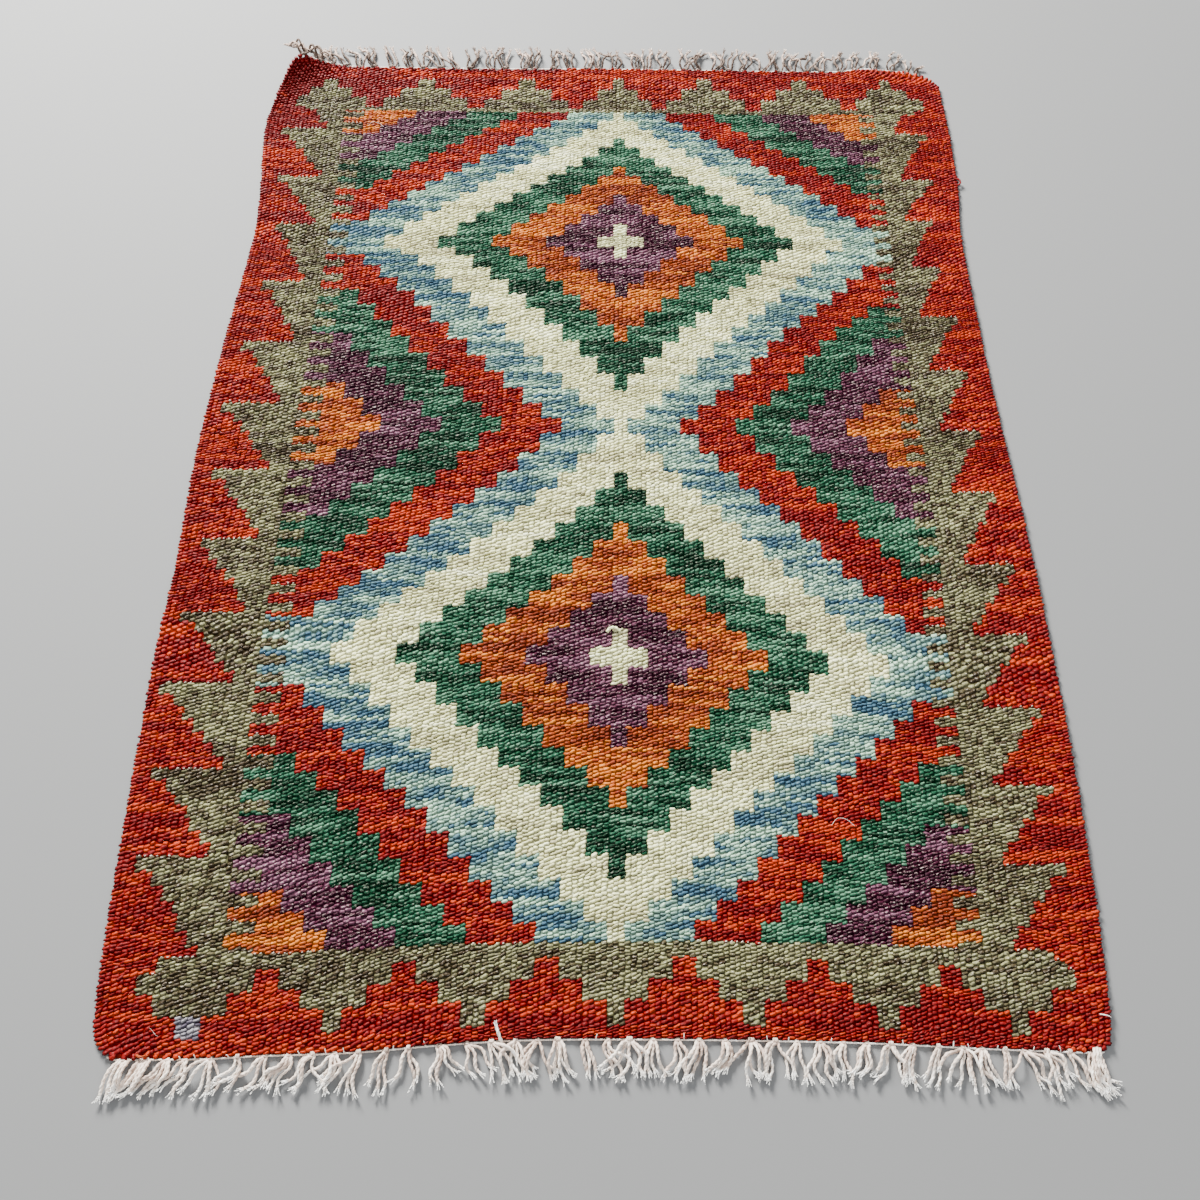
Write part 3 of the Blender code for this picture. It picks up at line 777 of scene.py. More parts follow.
def build_cloth():
    """The closed sheet under the floats."""
    nets = [net_of(TOP_ROUNDING, 1.0), net_of(0.0, RIM_LEVEL), net_of(UNDER_ROUNDING, 0.0)]
    per_net = (NET_RIBS + 1) * (NET_FLOATS + 1)
    rim = outline_of(NET_RIBS, NET_FLOATS)
    grid = np.arange(per_net).reshape(NET_FLOATS + 1, NET_RIBS + 1)
    upper = np.stack([grid[:-1, :-1], grid[:-1, 1:], grid[1:, 1:], grid[1:, :-1]], -1).reshape(-1, 4)
    lower = upper[:, ::-1] + per_net
    rim_start = 2 * per_net
    around = np.arange(len(rim))
    after = (around + 1) % len(rim)
    top_band = np.stack([rim_start + around, rim_start + after, rim[after], rim[around]], -1)
    low_band = np.stack([per_net + rim[around], per_net + rim[after], rim_start + after,
                         rim_start + around], -1)
    parts = [[net[k].reshape(-1, 3) for net in (nets[0], nets[2])] + [nets[1][k].reshape(-1, 3)[rim]]
             for k in range(3)]
    points, loom, teeth = (np.concatenate(part) for part in parts)
    mesh = bpy.data.meshes.new("kilim_cloth")
    faces = np.concatenate([upper, lower, top_band, low_band])
    mesh.from_pydata(points.tolist(), [], faces.tolist())
    set_vectors(mesh, "loom", loom)
    set_vectors(mesh, "teeth", teeth)
    mesh.shade_smooth()
    bake_map(mesh)
    return new_object("kilim_cloth", mesh, cloth_wool)


cloth = build_cloth()
print("cloth faces:", len(cloth.data.polygons))

# %% [markdown]
# ## Fifty thousand floats
# A float is the bit of weft that passes over one rib: a short plump bead of wool, pointed where it
# dives between its neighbours, and slanted by the pull of the next pick. Modelling one and repeating
# it is a task for Geometry Nodes. The points carry the place, the turn, the size and the loom
# numbers of each float, and the tree puts the bead there with a little unevenness of hand spinning.
# One bead has only seven faces. Bump alone would be lighter, but it can't give a motif its crisp
# stepped edge, nor the serrated light on a real weave.

# %% One float, and the tree that lays them
RIB_PITCH = WOVEN_WIDTH / RIBS
FLOAT_PITCH = WOVEN_LENGTH / FLOATS
FLOAT_LENGTH = RIB_PITCH / math.cos(FLOAT_SLANT) * 1.40
FLOAT_WIDTH = FLOAT_PITCH * math.cos(FLOAT_SLANT) * 1.06
LOOSE_ACROSS, LOOSE_ALONG = 0.34 * MM, 0.24 * MM   # no float lies exactly in its place
STRETCH_LIMITS = (0.5, 1.3)                        # how far a float can shrink or swell to fit


def bead_shape():
    """One float: six points around its foot and a ridge of two on top."""
    foot = [(-0.50, -0.06), (-0.27, -0.50), (0.30, -0.47), (0.50, 0.06), (0.27, 0.50), (-0.30, 0.47)]
    points = [(x, y, 0.0) for x, y in foot] + [(-0.22, -0.02, 1.0), (0.22, 0.02, 1.0)]
    faces = [(0, 1, 6), (1, 2, 7, 6), (2, 3, 7), (3, 4, 7), (4, 5, 6, 7), (5, 0, 6),
             (5, 4, 3, 2, 1, 0)]
    mesh = bpy.data.meshes.new("float_bead")
    mesh.from_pydata(points, [], faces)
    set_numbers(mesh, "rise", [0.0] * 6 + [1.0] * 2)
    mesh.shade_smooth()
    return new_object("float_bead", mesh, None)


def new_tree(name, inputs):
    """A Geometry Nodes group with named inputs and one geometry output."""
    tree = bpy.data.node_groups.new(name, "GeometryNodeTree")
    tree.interface.new_socket("Geometry", in_out="INPUT", socket_type="NodeSocketGeometry")
    for label, kind in inputs:
        tree.interface.new_socket(label, in_out="INPUT", socket_type=kind)
    tree.interface.new_socket("Geometry", in_out="OUTPUT", socket_type="NodeSocketGeometry")
    source = tree.nodes.new("NodeGroupInput")
    given = {socket.name: Shade(tree, socket) for socket in source.outputs if socket.name}
    return tree, given


def finish_tree(tree, geometry, material):
    """End the tree in real geometry with its material."""
    real = Shade.node(tree, "GeometryNodeRealizeInstances", None, {"Geometry": geometry})
    painted = Shade.node(tree, "GeometryNodeSetMaterial", None,
                         {"Geometry": real, "Material": material})
    connect(painted, tree.nodes.new("NodeGroupOutput").inputs["Geometry"])


def named(tree, name, kind="FLOAT_VECTOR"):
    return Shade.node(tree, "GeometryNodeInputNamedAttribute", {"data_type": kind}, {"Name": name})


def random_vector(reach, seed):
    """A random vector for each point, up to the reach either way."""
    return Shade.node(seed.tree, "FunctionNodeRandomValue", {"data_type": "FLOAT_VECTOR"},
                      {0: tuple(-v for v in reach), 1: reach, "Seed": seed})


def make_bead_tree():
    tree, given = new_tree("lay_floats", (
        ("Bead", "NodeSocketObject"), ("Length", "NodeSocketFloat"), ("Width", "NodeSocketFloat"),
        ("Height", "NodeSocketFloat"), ("Uneven size", "NodeSocketFloat"),
        ("Uneven turn", "NodeSocketFloat"), ("Seed", "NodeSocketInt"), ("Wool", "NodeSocketMaterial")))
    bead = Shade.node(tree, "GeometryNodeObjectInfo", {"transform_space": "ORIGINAL"},
                      {"Object": given["Bead"]}, output="Geometry")
    size = join_vector(tree, given["Length"], given["Width"], given["Height"])
    size = size.vector("MULTIPLY", named(tree, "stretch"))
    swell = random_vector((1, 1, 1), given["Seed"])
    swell = swell.vector("MULTIPLY", all_three(given["Uneven size"]))
    size = size.vector("MULTIPLY", swell.vector("ADD", (1, 1, 1)))
    spin = random_vector((0.5, 0.7, 1), given["Seed"] + 1)
    spin = spin.vector("MULTIPLY", all_three(given["Uneven turn"]))
    turn = named(tree, "turn").vector("ADD", spin)
    laid = Shade.node(tree, "GeometryNodeInstanceOnPoints", None,
                      {"Points": given["Geometry"], "Instance": bead, "Rotation": turn, "Scale": size})
    finish_tree(tree, laid, given["Wool"])
    return tree


def run_tree(name, mesh, tree, values):
    """Put a tree on a mesh, set its named inputs, and keep the result as a plain mesh."""
    carrier = new_object(name + "_points", mesh, None)
    modifier = carrier.modifiers.new("nodes", "NODES")
    modifier.node_group = tree
    for item in tree.interface.items_tree:
        if item.in_out == "INPUT" and item.name in values:
            modifier[item.identifier] = values[item.name]
    graph = bpy.context.evaluated_depsgraph_get()
    result = bpy.data.meshes.new_from_object(carrier.evaluated_get(graph), depsgraph=graph)
    bpy.data.objects.remove(carrier, do_unlink=True)
    result.name = name
    return new_object(name, result, None)


def axes_to_turn(ahead, up):
    """Euler angles that turn X to ahead and Z to up, for arrays of directions."""
    up = up / np.linalg.norm(up, axis=1, keepdims=True)
    side = np.cross(up, ahead)
    side /= np.linalg.norm(side, axis=1, keepdims=True)
    ahead = np.cross(side, up)
    return np.stack([np.arctan2(side[:, 2], up[:, 2]), -np.arcsin(np.clip(ahead[:, 2], -1, 1)),
                     np.arctan2(ahead[:, 1], ahead[:, 0])], -1)


def point_cloud(name, places, **vectors):
    mesh = bpy.data.meshes.new(name)
    mesh.from_pydata(places.tolist(), [], [])
    for label, values in vectors.items():
        set_vectors(mesh, label, values)
    return mesh


SINK = 0.12 * MM
west, east = (on_cloth(float_rib + half, row_of(float_number), 1.0, FLOAT_RISE)
              for half in (-0.5, 0.5))
south, north = (on_cloth(float_rib, row_of(float_number + half), 1.0, FLOAT_RISE)
                for half in (-0.5, 0.5))
weft_way, warp_way = east - west, north - south
up_way = np.cross(weft_way, warp_way)
sway = uneven(float_rib / RIBS, float_number / FLOATS, (28, 52), 12)[:, None]
slants = FLOAT_SLANT + SLANT_SWING * sway
slanted = weft_way * np.cos(slants) / RIB_PITCH + warp_way * np.sin(slants) / FLOAT_PITCH
turns = axes_to_turn(slanted, up_way)
loose = np.clip(np.random.default_rng(21).normal(0, 1, (len(turns), 2)), -2, 2)
loose *= (np.clip(np.minimum(float_rib, RIBS - float_rib) / 3, 0, 1)[:, None] * 0.8 + 0.2)
shift = (weft_way * loose[:, :1] * LOOSE_ACROSS / RIB_PITCH
         + warp_way * loose[:, 1:] * LOOSE_ALONG / FLOAT_PITCH)
stretch = np.stack([np.linalg.norm(weft_way, axis=1) / RIB_PITCH,
                    np.linalg.norm(warp_way, axis=1) / FLOAT_PITCH, np.ones(len(turns))], -1)
stretch = np.clip(stretch, *STRETCH_LIMITS)   # at a rounded corner the loom's lines run off slantwise
up_unit = up_way / np.linalg.norm(up_way, axis=1, keepdims=True)
feet = on_cloth(float_rib, row_of(float_number), 1.0, FLOAT_RISE) - up_unit * SINK + shift
loom_numbers = np.stack([float_rib, whole_row, float_grid.ravel() + 0.5], -1)

bead = bead_shape()
bead_tree = make_bead_tree()
floats = []
for yarn, name in enumerate(YARN_NAMES):
    chosen = float_yarn == yarn
    cloud = point_cloud(f"{name}_places", feet[chosen], turn=turns[chosen],
                        stretch=stretch[chosen], loom=loom_numbers[chosen])
    piece = run_tree(f"weft_{name}", cloud, bead_tree, {
        "Bead": bead, "Length": FLOAT_LENGTH, "Width": FLOAT_WIDTH, "Height": FLOAT_RISE + SINK,
        "Uneven size": 0.26, "Uneven turn": 0.28, "Seed": 11 + yarn, "Wool": wool[yarn]})
    totals = np.empty(len(piece.data.polygons), np.int32)
    piece.data.polygons.foreach_get("loop_total", totals)
    bake_map(piece.data, np.repeat(totals == 6, totals))
    floats.append(piece)
    print(piece.name, "triangles:", int((totals - 2).sum()))

# %% [markdown]
# ## The fringe
# The warps end in a fringe. A thin cord runs along each end, and every few warps are knotted over
# it and hang free as soft two-ply cotton strands, about 25 mm long, whose tips have come untwisted.
# A strand is a path with a thickness, so a second tree spins all of them: it takes polylines, tilts
# them steadily for the twist, and sweeps a two-lobed section along each. A particle system would be
# quicker to start, but it can't cross strands over each other or lay them down on the floor.

# %% The ends of the cloth, and the knots
CORD_SPANS = {"near": (-293.0, 300.5), "far": (-290.0, 283.0)}  # mm
NEAR_KNOTS = (  # mm from the middle, read along the near end
    -283, -271, -258, -247, -232.5, -216.5, -200.5, -186.5, -172.5, -159.5, -145.5, -129, -116, -98,
    -81.5, -67, -53, -40, -27.5, -11, 2.5, 15.5, 29.5, 44.5, 57, 73, 88.5, 103, 116, 130, 144, 158,
    172.5, 185.5, 201, 216, 227, 241, 253, 266, 280, 295)
ODD_STRANDS = (  # knot, then places in mm along the cord, outward and up
    # one loops back up over the cloth
    (-53, (0, 0, 2.5), (-1, 4, 2), (-2.5, 5.5, 1.5), (-6, 5.2, 1.5), (-8, 1.5, 3.5), (-9.5, -2.5, 5.5),
     (-11, -6.5, 6)),
    # the full bunch at the near right corner, which is thrown over the cord and spreads to the right
    (295, (-0.4, -1.5, 3.0), (-1.0, 2, 4.2), (-2.6, 8, 3.2), (-3.6, 15, 2.4), (-2, 20, 1.9),
     (1.5, 24, 1.6)),
    (295, (1.2, -1.8, 3.2), (0.8, 2, 4.8), (-0.8, 8, 4.0), (-1.5, 14, 2.8), (0.5, 19, 2.0),
     (4, 23.5, 1.6)),
    (295, (2.8, -1.5, 3.0), (2.4, 2, 4.2), (1.0, 8, 3.2), (0.4, 12, 2.6), (4, 15, 2.0), (9, 17, 1.6)),
    (295, (2.0, -1.6, 2.8), (1.6, 2, 3.8), (0.2, 8, 4.6), (-0.5, 14, 3.6), (2.5, 18, 2.4), (7, 20.5, 1.6)),
    # and one long end beside it
    (266, (0, 0, 2.6), (1, 8, 4.4), (3, 16, 3.6), (5, 25, 1.6)))
LEANS = (  # x in mm, and how far the strands lean to the right there, in radians: near, far
    (-300, -0.54, -0.70), (-230, -0.48, -0.38), (-150, -0.38, -0.28), (-100, 0.22, 0.05),
    (-50, 0.28, 0.0), (0, 0.05, -0.08), (70, 0.0, 0.10), (140, -0.1, 0.15), (190, -0.28, 0.22),
    (240, 0.15, 0.25), (280, 0.35, 0.30), (305, -0.05, 0.30))
STRAND_LENGTHS = {"near": (19.0, 24.0), "far": (21.0, 27.0)}  # mm, without the frayed tips
STRAND_TONES_AND_SHADE = {"near": (0.0, 0.8), "far": (-1.0, -0.2)}     # random tone; the far strands are darkened as painted shade of their backlit sides
CORNER_KNOTS = {"near": (0, 1, -1), "far": (0, 1)}           # fuller bunches
FAR_KNOTS, FAR_LAST = 38, 256.0                              # on the far end, and where they stop
FAR_STRAGGLERS = (273.0, 281.0)                              # short ones on the rounded corner
FRINGE_DROOP = 0.18


def edge_y(end, x):
    """Where an end of the cloth runs, also around its rounded corners."""
    y = smooth_read(ENDS, 1 if end == "near" else 2, x)
    inward = 1 if end == "near" else -1
    for side, outward in (("left", -1), ("right", 1)):
        across, along = (v * MM for v in CORNERS[end, side])
        starts = selvedge_x(side, np.float64(0 if end == "near" else 1))
        past = np.clip(outward * (x - starts) / across, 0, 1)
        y = y + inward * along * (1 - np.sqrt(1 - past ** 2))
    return y


def edge_frame(end, x):
    """A point on the end of the cloth, the direction along it, and the way out from it."""
    step = 0.5 * MM
    along = np.stack([np.full(np.shape(x), 2 * step), edge_y(end, x + step) - edge_y(end, x - step)], -1)
    along = along / np.linalg.norm(along, axis=-1, keepdims=True)
    turn = 1 if end == "near" else -1
    out = np.stack([along[..., 1] * turn, -along[..., 0] * turn], -1)
    return np.stack([x, edge_y(end, x)], -1), along, out


def from_edge(end, x, path):
    """Turn a path in mm (along the cord, outward, above the resting height) into frame points."""
    path = np.asarray(path, float) * MM
    origin, along, out = edge_frame(end, np.full(len(path), x * MM))
    straight = np.array((0, -1 if end == "near" else 1))   # also where a corner is rounded
    out = out * 0.2 + straight * 0.8
    plan = origin + along * path[:, :1] + out * path[:, 1:2]
    plan[:, 0] += drawn_in(origin[:, 0], origin[:, 1])
    base = lift(origin[:, 0], origin[:, 1])
    rest = np.maximum(base - FRINGE_DROOP * np.maximum(path[:, 1], 0), 0)
    return np.stack([plan[:, 0] + TABLE_TO_FRAME.x, plan[:, 1] + TABLE_TO_FRAME.y,
                     rest + path[:, 2]], -1)


def through(points, count):
    """A smooth run of places through a few set ones."""
    points = np.asarray(points, float)
    t = np.linspace(0, len(points) - 1, count)
    k = np.clip(t.astype(int), 0, len(points) - 2)
    f = (t - k)[:, None]
    slopes = np.gradient(points, axis=0)
    return (points[k] * (1 + 2 * f) * (1 - f) ** 2 + points[k + 1] * (3 - 2 * f) * f ** 2
            + slopes[k] * f * (1 - f) ** 2 - slopes[k + 1] * (1 - f) * f ** 2)


# %% Plan the strands
STRAND_POINTS, TIP_POINTS, TIP_FIBRES = 28, 5, 7
TIP_RADIUS = (0.50, 0.26)                    # mm, where a fibre leaves the strand and at its end
STRAND_RADIUS = {"near": 1.02, "far": 0.98}   # mm
CORD_RADIUS = 0.62
STRANDS_PER_KNOT = {"near": (3, 3, 4, 4, 5), "far": (3,)}
STRAND_SPACING = {"near": 0.95, "far": 3.0}   # mm between a knot's strands, where they leave the cord


def strand_shape(chance, lean, way, spread, start, length, layer, lively, over):
    """Set places of one strand, mm: over or under the cord, then the way its knot's strands take."""
    places = [(start * 0.5, -0.4, 1.4 + 0.8 * over), (start * 0.6, 0.5, 1.3 + 1.6 * over),
              (start * 0.9, 1.9, 1.7 + 0.6 * over)]
    wave, phase, bend = (v + chance.uniform(-0.3, 0.3) for v in way)
    s, o, steps = start, 1.9, 7
    for k in range(1, steps + 1):
        t = k / steps
        heading = lean * (0.6 + 0.55 * t) + spread * (1 - 0.7 * t) + bend * (t - 0.4)
        heading += 0.34 * lively * math.sin(phase + wave * math.pi * t)
        s += (length - 1.9) / steps * math.sin(heading)
        o += (length - 1.9) / steps * math.cos(heading)
        arch = layer * math.sin(math.pi * min(t * 1.15, 1)) ** 0.8
        places.append((s, o, 1.1 + 1.0 * (1 - t) ** 3 + 0.9 * t * t + arch))
    return places


def tip_shapes(chance, path, radius):
    """The untwisted fibres that fan out from the last point of a strand."""
    ahead = path[-1] - path[-3]
    ahead /= np.linalg.norm(ahead)
    side = np.array([-ahead[1], ahead[0], 0.0])
    fibres = []
    for _ in range(TIP_FIBRES):
        spread = chance.uniform(-0.38, 0.38)
        rise = chance.uniform(-0.05, 0.3)
        reach = chance.uniform(2.8, 4.6) * MM
        root = path[-1] - ahead * 1.4 * MM + side * spread * radius * 2.0
        root[2] += chance.uniform(-0.1, 0.5) * radius
        curl = chance.uniform(-0.15, 0.15)
        t = np.linspace(0, 1, TIP_POINTS)[:, None]
        angle = spread * t + curl * t ** 2
        line = root + ahead * reach * 1.35 * t * np.cos(angle * 0.7) + side * reach * np.sin(angle) * t
        line[:, 2] += (rise * reach * t ** 1.5)[:, 0]
        line[:, 2] = np.maximum(line[:, 2], 0.15 * MM)
        fibres.append(line)
    return fibres


def plan_fringe(end):
    """All the yarn of one end: lists of (path, thickness, tone), for thick yarn and for tips."""
    chance = random.Random(f"{end} fringe 7")
    near = end == "near"
    start, stop = CORD_SPANS[end]
    first, spacing = start + 4, (FAR_LAST - start - 4) / (FAR_KNOTS - 1)
    knots = NEAR_KNOTS if near else [*(first + spacing * (k + chance.uniform(-0.2, 0.2))
                                       for k in range(FAR_KNOTS)), *FAR_STRAGGLERS]
    radius = STRAND_RADIUS[end]
    tip_thick = np.linspace(*TIP_RADIUS, TIP_POINTS) * MM
    yarns, tips = [], []

    def add_strand(path, thick, tone, tip_tone):
        yarns.append((path, thick, tone))
        tips.extend((line, tip_thick, tip_tone) for line in tip_shapes(chance, path, radius * MM))

    x = np.linspace(start, stop, 460) * MM
    origin, along, out = edge_frame(end, x)
    cord = np.concatenate([origin + out * 0.9 * MM + (TABLE_TO_FRAME.x, TABLE_TO_FRAME.y),
                           (lift(origin[:, 0], origin[:, 1]) + 1.15 * MM)[:, None]], 1)
    cord[:, 0] += drawn_in(origin[:, 0], origin[:, 1])
    yarns.append((cord, np.full(len(cord), CORD_RADIUS * MM), 0.85))
    for number, knot in enumerate(knots):
        corner = number in (k % len(knots) for k in CORNER_KNOTS[end])
        straggler = not near and knot in FAR_STRAGGLERS
        count = 5 if corner else 2 if straggler else chance.choice(STRANDS_PER_KNOT[end])
        lean = float(smooth_read(LEANS, 1 if near else 2, knot * MM)) / MM + chance.uniform(-0.2, 0.2)
        fan = 0.06 if corner else chance.uniform(0.15, 0.55) * (1.0 if near else 0.6)
        way = chance.uniform(1.2, 2.6), chance.uniform(0, math.tau), chance.uniform(-0.7, 0.7)
        lively = 0.3 if corner else chance.uniform(0.7, 1.7)
        astray = chance.randrange(count) if chance.random() < 0.45 and not corner else -1
        over = chance.choice((0, 0, 1))
        shuffled = chance.sample(range(count), count)
        for k in range(count):
            place = k - (count - 1) / 2
            length = chance.uniform(*STRAND_LENGTHS[end]) * (0.45 if straggler else 1.0)
            layer = (0.3 + 1.05 * shuffled[k]) * (1.0 if near else 2.2)
            stray = 0.8 if k == astray else 0.12
            own_lean = lean + chance.uniform(-stray, stray)
            places = strand_shape(chance, own_lean, way, fan * place,
                                  place * (1.7 if corner else STRAND_SPACING[end]),
                                  length, layer, lively, over)
            path = through(from_edge(end, knot, places), STRAND_POINTS)
            t = np.linspace(0, 1, STRAND_POINTS)
            thick = radius * MM * (0.66 + 0.34 * np.minimum(t * 3.5, 1)
                                   - 0.35 * np.maximum(t - 0.9, 0) / 0.1)
            thick = thick * (1 + 0.07 * np.sin(t * 17 + number + k)) * chance.uniform(0.86, 1.12)
            # Near strands get a random tone; the far ones a low tone, painted shade for their backlit
            # sides, with lighter tips.
            tone = chance.uniform(*STRAND_TONES_AND_SHADE[end])
            add_strand(path, thick, tone, 1.2 if near else tone + 0.4)
        for place, *places in ODD_STRANDS if near else ():
            if place == knot:
                path = through(from_edge(end, knot, places), STRAND_POINTS)
                add_strand(path, np.full(STRAND_POINTS, radius * MM), 0.8, 1.2)
        wide = 0.5 + 0.3 * count
        tilt = chance.uniform(-0.6, 0.6)
        crest = 2.7 + 0.8 * over
        wrap = [(-wide, 1.6 - tilt, 1.0), (-wide * 0.7, 1.3 - tilt, crest - 0.8), (0, 1.3, crest),
                (wide * 0.7, 1.3 + tilt, crest - 0.8), (wide, 1.6 + tilt, 1.0)]
        yarns.append((through(from_edge(end, knot, wrap), 12), np.full(12, 0.42 * MM), 0.1))
    for number in range(len(knots) - 1):
        if chance.random() < 0.6:
            continue
        between = (knots[number] + knots[number + 1]) / 2 + chance.uniform(-3, 3)
        reach = chance.uniform(0.6, 2.6)
        slope = chance.uniform(-1.4, 1.0)
        poke = [(0, 1.0, 1.2), (slope * 0.3, -0.1, 2.4), (slope, -reach, 3.4)]
        yarns.append((through(from_edge(end, between, poke), 7), np.linspace(0.5, 0.2, 7) * MM, 0.9))
    return yarns, tips, len(tips) // TIP_FIBRES


def yarn_lines(name, yarns):
    """Polylines that carry their thickness, tone and how far along they are."""
    points = np.concatenate([path for path, _, _ in yarns])
    sizes = [len(path) for path, _, _ in yarns]
    starts = np.cumsum([0, *sizes[:-1]])
    edges = np.concatenate([np.stack([np.arange(a, a + n - 1), np.arange(a + 1, a + n)], -1)
                            for a, n in zip(starts, sizes)])
    mesh = bpy.data.meshes.new(name)
    mesh.from_pydata(points.tolist(), edges.tolist(), [])
    set_numbers(mesh, "thick", np.concatenate([thick for _, thick, _ in yarns]))
    set_numbers(mesh, "tone", np.repeat([tone for _, _, tone in yarns], sizes))
    set_numbers(mesh, "along", np.concatenate([np.linspace(0, 1, n) for n in sizes]))
    return mesh


# %% Cotton, and the tree that spins it
COTTON_RAMP = tuple(zip((0.0, 0.3, 0.62, 0.9), (from_screen(*shade) for shade in (
    (84, 70, 62), (190, 166, 152), (230, 214, 200), (254, 252, 248)))))


def make_cotton():
    """Undyed cotton: each strand has its own tone, and it is darker and pinker towards its root."""
    material, tree, shader = new_material("undyed_cotton", 0.85, 0.15)
    tone = read_attribute(tree, "tone", "Fac")
    along = read_attribute(tree, "along", "Fac")
    place = Shade.node(tree, "ShaderNodeTexCoord", output="Object")
    patchy = noise(place, 260.0, 2.0)
    shade = tone * 0.45 + along * 0.35 + (patchy - 0.5) * 0.8 + 0.12
    colour = Shade.node(tree, "ShaderNodeValToRGB", {"stops": COTTON_RAMP}, {0: shade})
    connect(colour, shader.inputs["Base Color"])
    add_bump(shader, noise(place, 2200.0, 2.0), 0.5, 0.0003)
    return material


def make_yarn_tree():
    tree, given = new_tree("spin_yarn", (
        ("Sides", "NodeSocketInt"), ("Plies", "NodeSocketFloat"), ("Ply depth", "NodeSocketFloat"),
        ("Twist pitch", "NodeSocketFloat"), ("Cotton", "NodeSocketMaterial")))
    line = Shade.node(tree, "GeometryNodeMeshToCurve", None, {"Mesh": given["Geometry"]})
    length = Shade.node(tree, "GeometryNodeSplineParameter", output="Length")
    twisted = Shade.node(tree, "GeometryNodeSetCurveTilt", None, {
        "Curve": line, "Tilt": length * math.tau / given["Twist pitch"]})
    circle = Shade.node(tree, "GeometryNodeCurvePrimitiveCircle", {"mode": "RADIUS"}, {
        "Resolution": given["Sides"], "Radius": 1.0})
    around = Shade.node(tree, "GeometryNodeSplineParameter", output="Factor")
    swell = (around * given["Plies"] * math.tau).math("COSINE") * given["Ply depth"]
    place = Shade.node(tree, "GeometryNodeInputPosition")
    section = Shade.node(tree, "GeometryNodeSetPosition", None, {
        "Geometry": circle, "Offset": place.vector("MULTIPLY", all_three(swell))})
    yarn = Shade.node(tree, "GeometryNodeCurveToMesh", None, {
        "Curve": twisted, "Profile Curve": section, "Scale": named(tree, "thick", "FLOAT"),
        "Fill Caps": True})
    soft = Shade.node(tree, "GeometryNodeSetShadeSmooth", None, {"Geometry": yarn})
    finish_tree(tree, soft, given["Cotton"])
    return tree


cotton = make_cotton()
yarn_tree = make_yarn_tree()
fringes = {}
strand_total = 0
for end in ("near", "far"):
    yarns, tips, strands = plan_fringe(end)
    strand_total += strands
    spun = run_tree(f"fringe_yarn_{end}", yarn_lines(f"yarn_{end}", yarns), yarn_tree, {
        "Sides": 8, "Plies": 2.0, "Ply depth": 0.16, "Twist pitch": 6.5 * MM, "Cotton": cotton})
    frayed = run_tree(f"fringe_tips_{end}", yarn_lines(f"tips_{end}", tips), yarn_tree, {
        "Sides": 3, "Plies": 0.0, "Ply depth": 0.0, "Twist pitch": 9 * MM, "Cotton": cotton})
    fringes[end] = (spun, frayed)
    for piece in (spun, frayed):
        map_and_count(piece)
print("strands in all:", strand_total)

# %% [markdown]
# ## Small signs of the hand
# Where a motif ends in a straight line the weft turns back, and a dot of bare warp shows in each
# rib. A few yarn ends were left on the face: one over the lower cross, one on the near cord and one
# at the right selvedge, and some pale hairs. They use the two trees already made, so they cost only
# a table of places. A clean rug would need none of this, but without it the weave looks printed.

# %% Bare warps and loose ends
BARE_WARP_SHARE = 0.6
BARE_WARP_SIZE = (0.30, 0.26, 0.62)   # of a float's length, width and height
LOOSE_ENDS = (  # yarn (None is cotton), thickness in mm, places on the measuring table in mm
    (CREAM, 1.15, ((0.6, -148.6, 2.6), (2.4, -146.4, 3.8), (5.0, -145.6, 4.1), (7.8, -146.5, 3.7),
                   (9.6, -148.2, 2.6))),
    (ORANGE, 0.95, ((-275.5, -428.6, 2.6), (-274, -429.4, 3.7), (-271.6, -429.6, 4.0),
                    (-269.3, -428.7, 2.8))),
    (RED, 0.95, ((299.6, 292.6, 3.0), (303.4, 291.4, 3.6), (304.9, 288.6, 2.8), (303.2, 286.0, 2.4),
                 (299.4, 285.2, 2.8))),
    (None, 0.11, ((-213, 349, 3.2), (-209, 352.5, 5.0), (-203.5, 352, 4.4), (-199, 348.5, 3.2))),
    (None, 0.11, ((147, -289, 3.2), (151, -285, 5.2), (157, -285.5, 4.6), (162, -289.5, 3.2))),
    (None, 0.05, ((-270.4, -413.2, 3.3), (-268.6, -414.7, 4.1), (-266.4, -416.9, 4.2),
                  (-264.7, -418.4, 3.4))),
    (None, 0.38, ((301.6, -408.2, 3.3), (303.4, -408.6, 4.2), (306.0, -409.2, 4.3),
                  (308.0, -409.9, 3.3))),
)

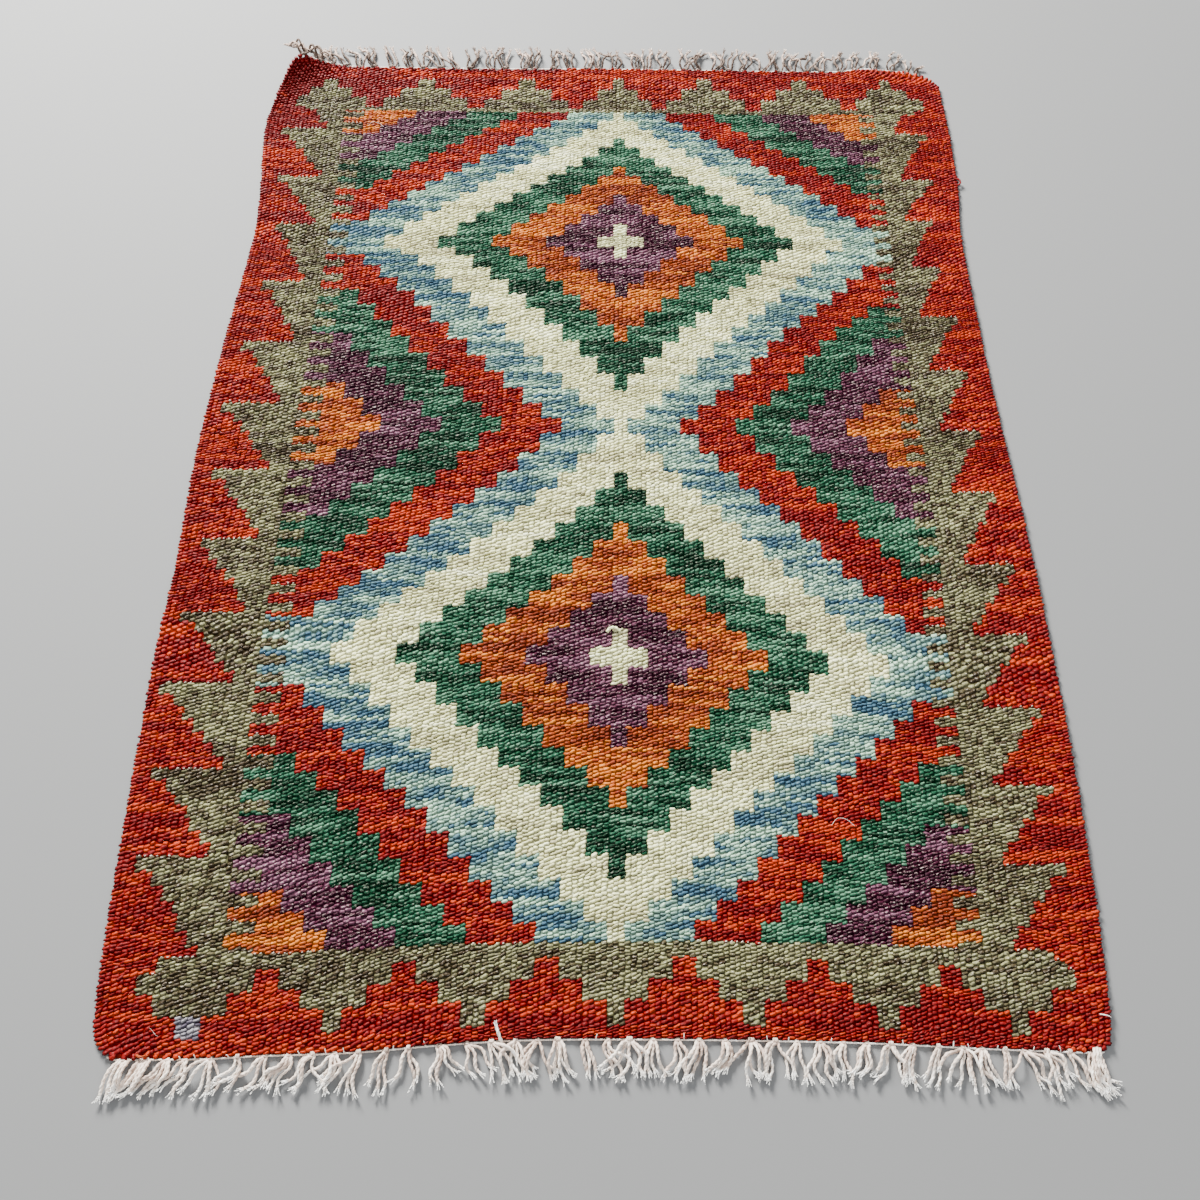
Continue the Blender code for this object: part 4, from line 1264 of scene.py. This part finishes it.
yarn_grid = float_yarn.reshape(FLOATS, RIBS)
turns_back = (yarn_grid[:-1] == SAGE) & np.isin(yarn_grid[1:], (RED, ORANGE))
turns_back &= np.random.default_rng(31).random(turns_back.shape) < BARE_WARP_SHARE
line, rib_index = np.nonzero(turns_back)
index = line * RIBS + rib_index
places = on_cloth(rib_index + 0.5, row_of(line + 1.0), 1.0, FLOAT_RISE * 0.45)
cloud = point_cloud("warp_places", places, turn=turns[index],
                    stretch=stretch[index] * np.array(BARE_WARP_SIZE),
                    tone=np.full((len(index), 3), 1.1))
bare_warps = run_tree("bare_warps", cloud, bead_tree, {
    "Bead": bead, "Length": FLOAT_LENGTH, "Width": FLOAT_WIDTH, "Height": FLOAT_RISE + SINK,
    "Uneven size": 0.3, "Uneven turn": 0.3, "Seed": 51, "Wool": cotton})
bpy.data.objects.remove(bead, do_unlink=True)

loose_ends = []
for yarn in (None, CREAM, ORANGE, RED):
    lines = [(through(np.array(path) * MM + np.array(TABLE_TO_FRAME), 16),
              np.linspace(1.0, 0.7, 16) * thick * MM, 1.0)
             for kind, thick, path in LOOSE_ENDS if kind == yarn]
    name = "loose_cotton" if yarn is None else f"loose_{YARN_NAMES[yarn]}"
    mesh = yarn_lines(name + "_lines", lines)
    count = len(mesh.vertices)
    set_vectors(mesh, "loom", np.tile((4.0 if yarn == ORANGE else 168.0, 30.0, 3.0), (count, 1)))
    set_numbers(mesh, "rise", np.ones(count))
    loose_ends.append(run_tree(name, mesh, yarn_tree, {
        "Sides": 8, "Plies": 2.0, "Ply depth": 0.16, "Twist pitch": 5 * MM,
        "Cotton": cotton if yarn is None else wool[yarn]}))
for piece in (bare_warps, *loose_ends):
    map_and_count(piece)

# %% [markdown]
# ## Attaching to the frame
# Every piece rides on the rug's one body, and the imported parts that the pieces stand in for are
# hidden.

# %% Attach to the frame
for piece in (*floats, *loose_ends[1:]):
    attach(piece, "root")
for piece in (bare_warps, loose_ends[0]):
    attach(piece, "root")
for end, pieces in fringes.items():
    for piece in pieces:
        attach(piece, "root")
    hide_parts(f"fringe_{end}")
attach(cloth, "root")
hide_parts("kilim_body")
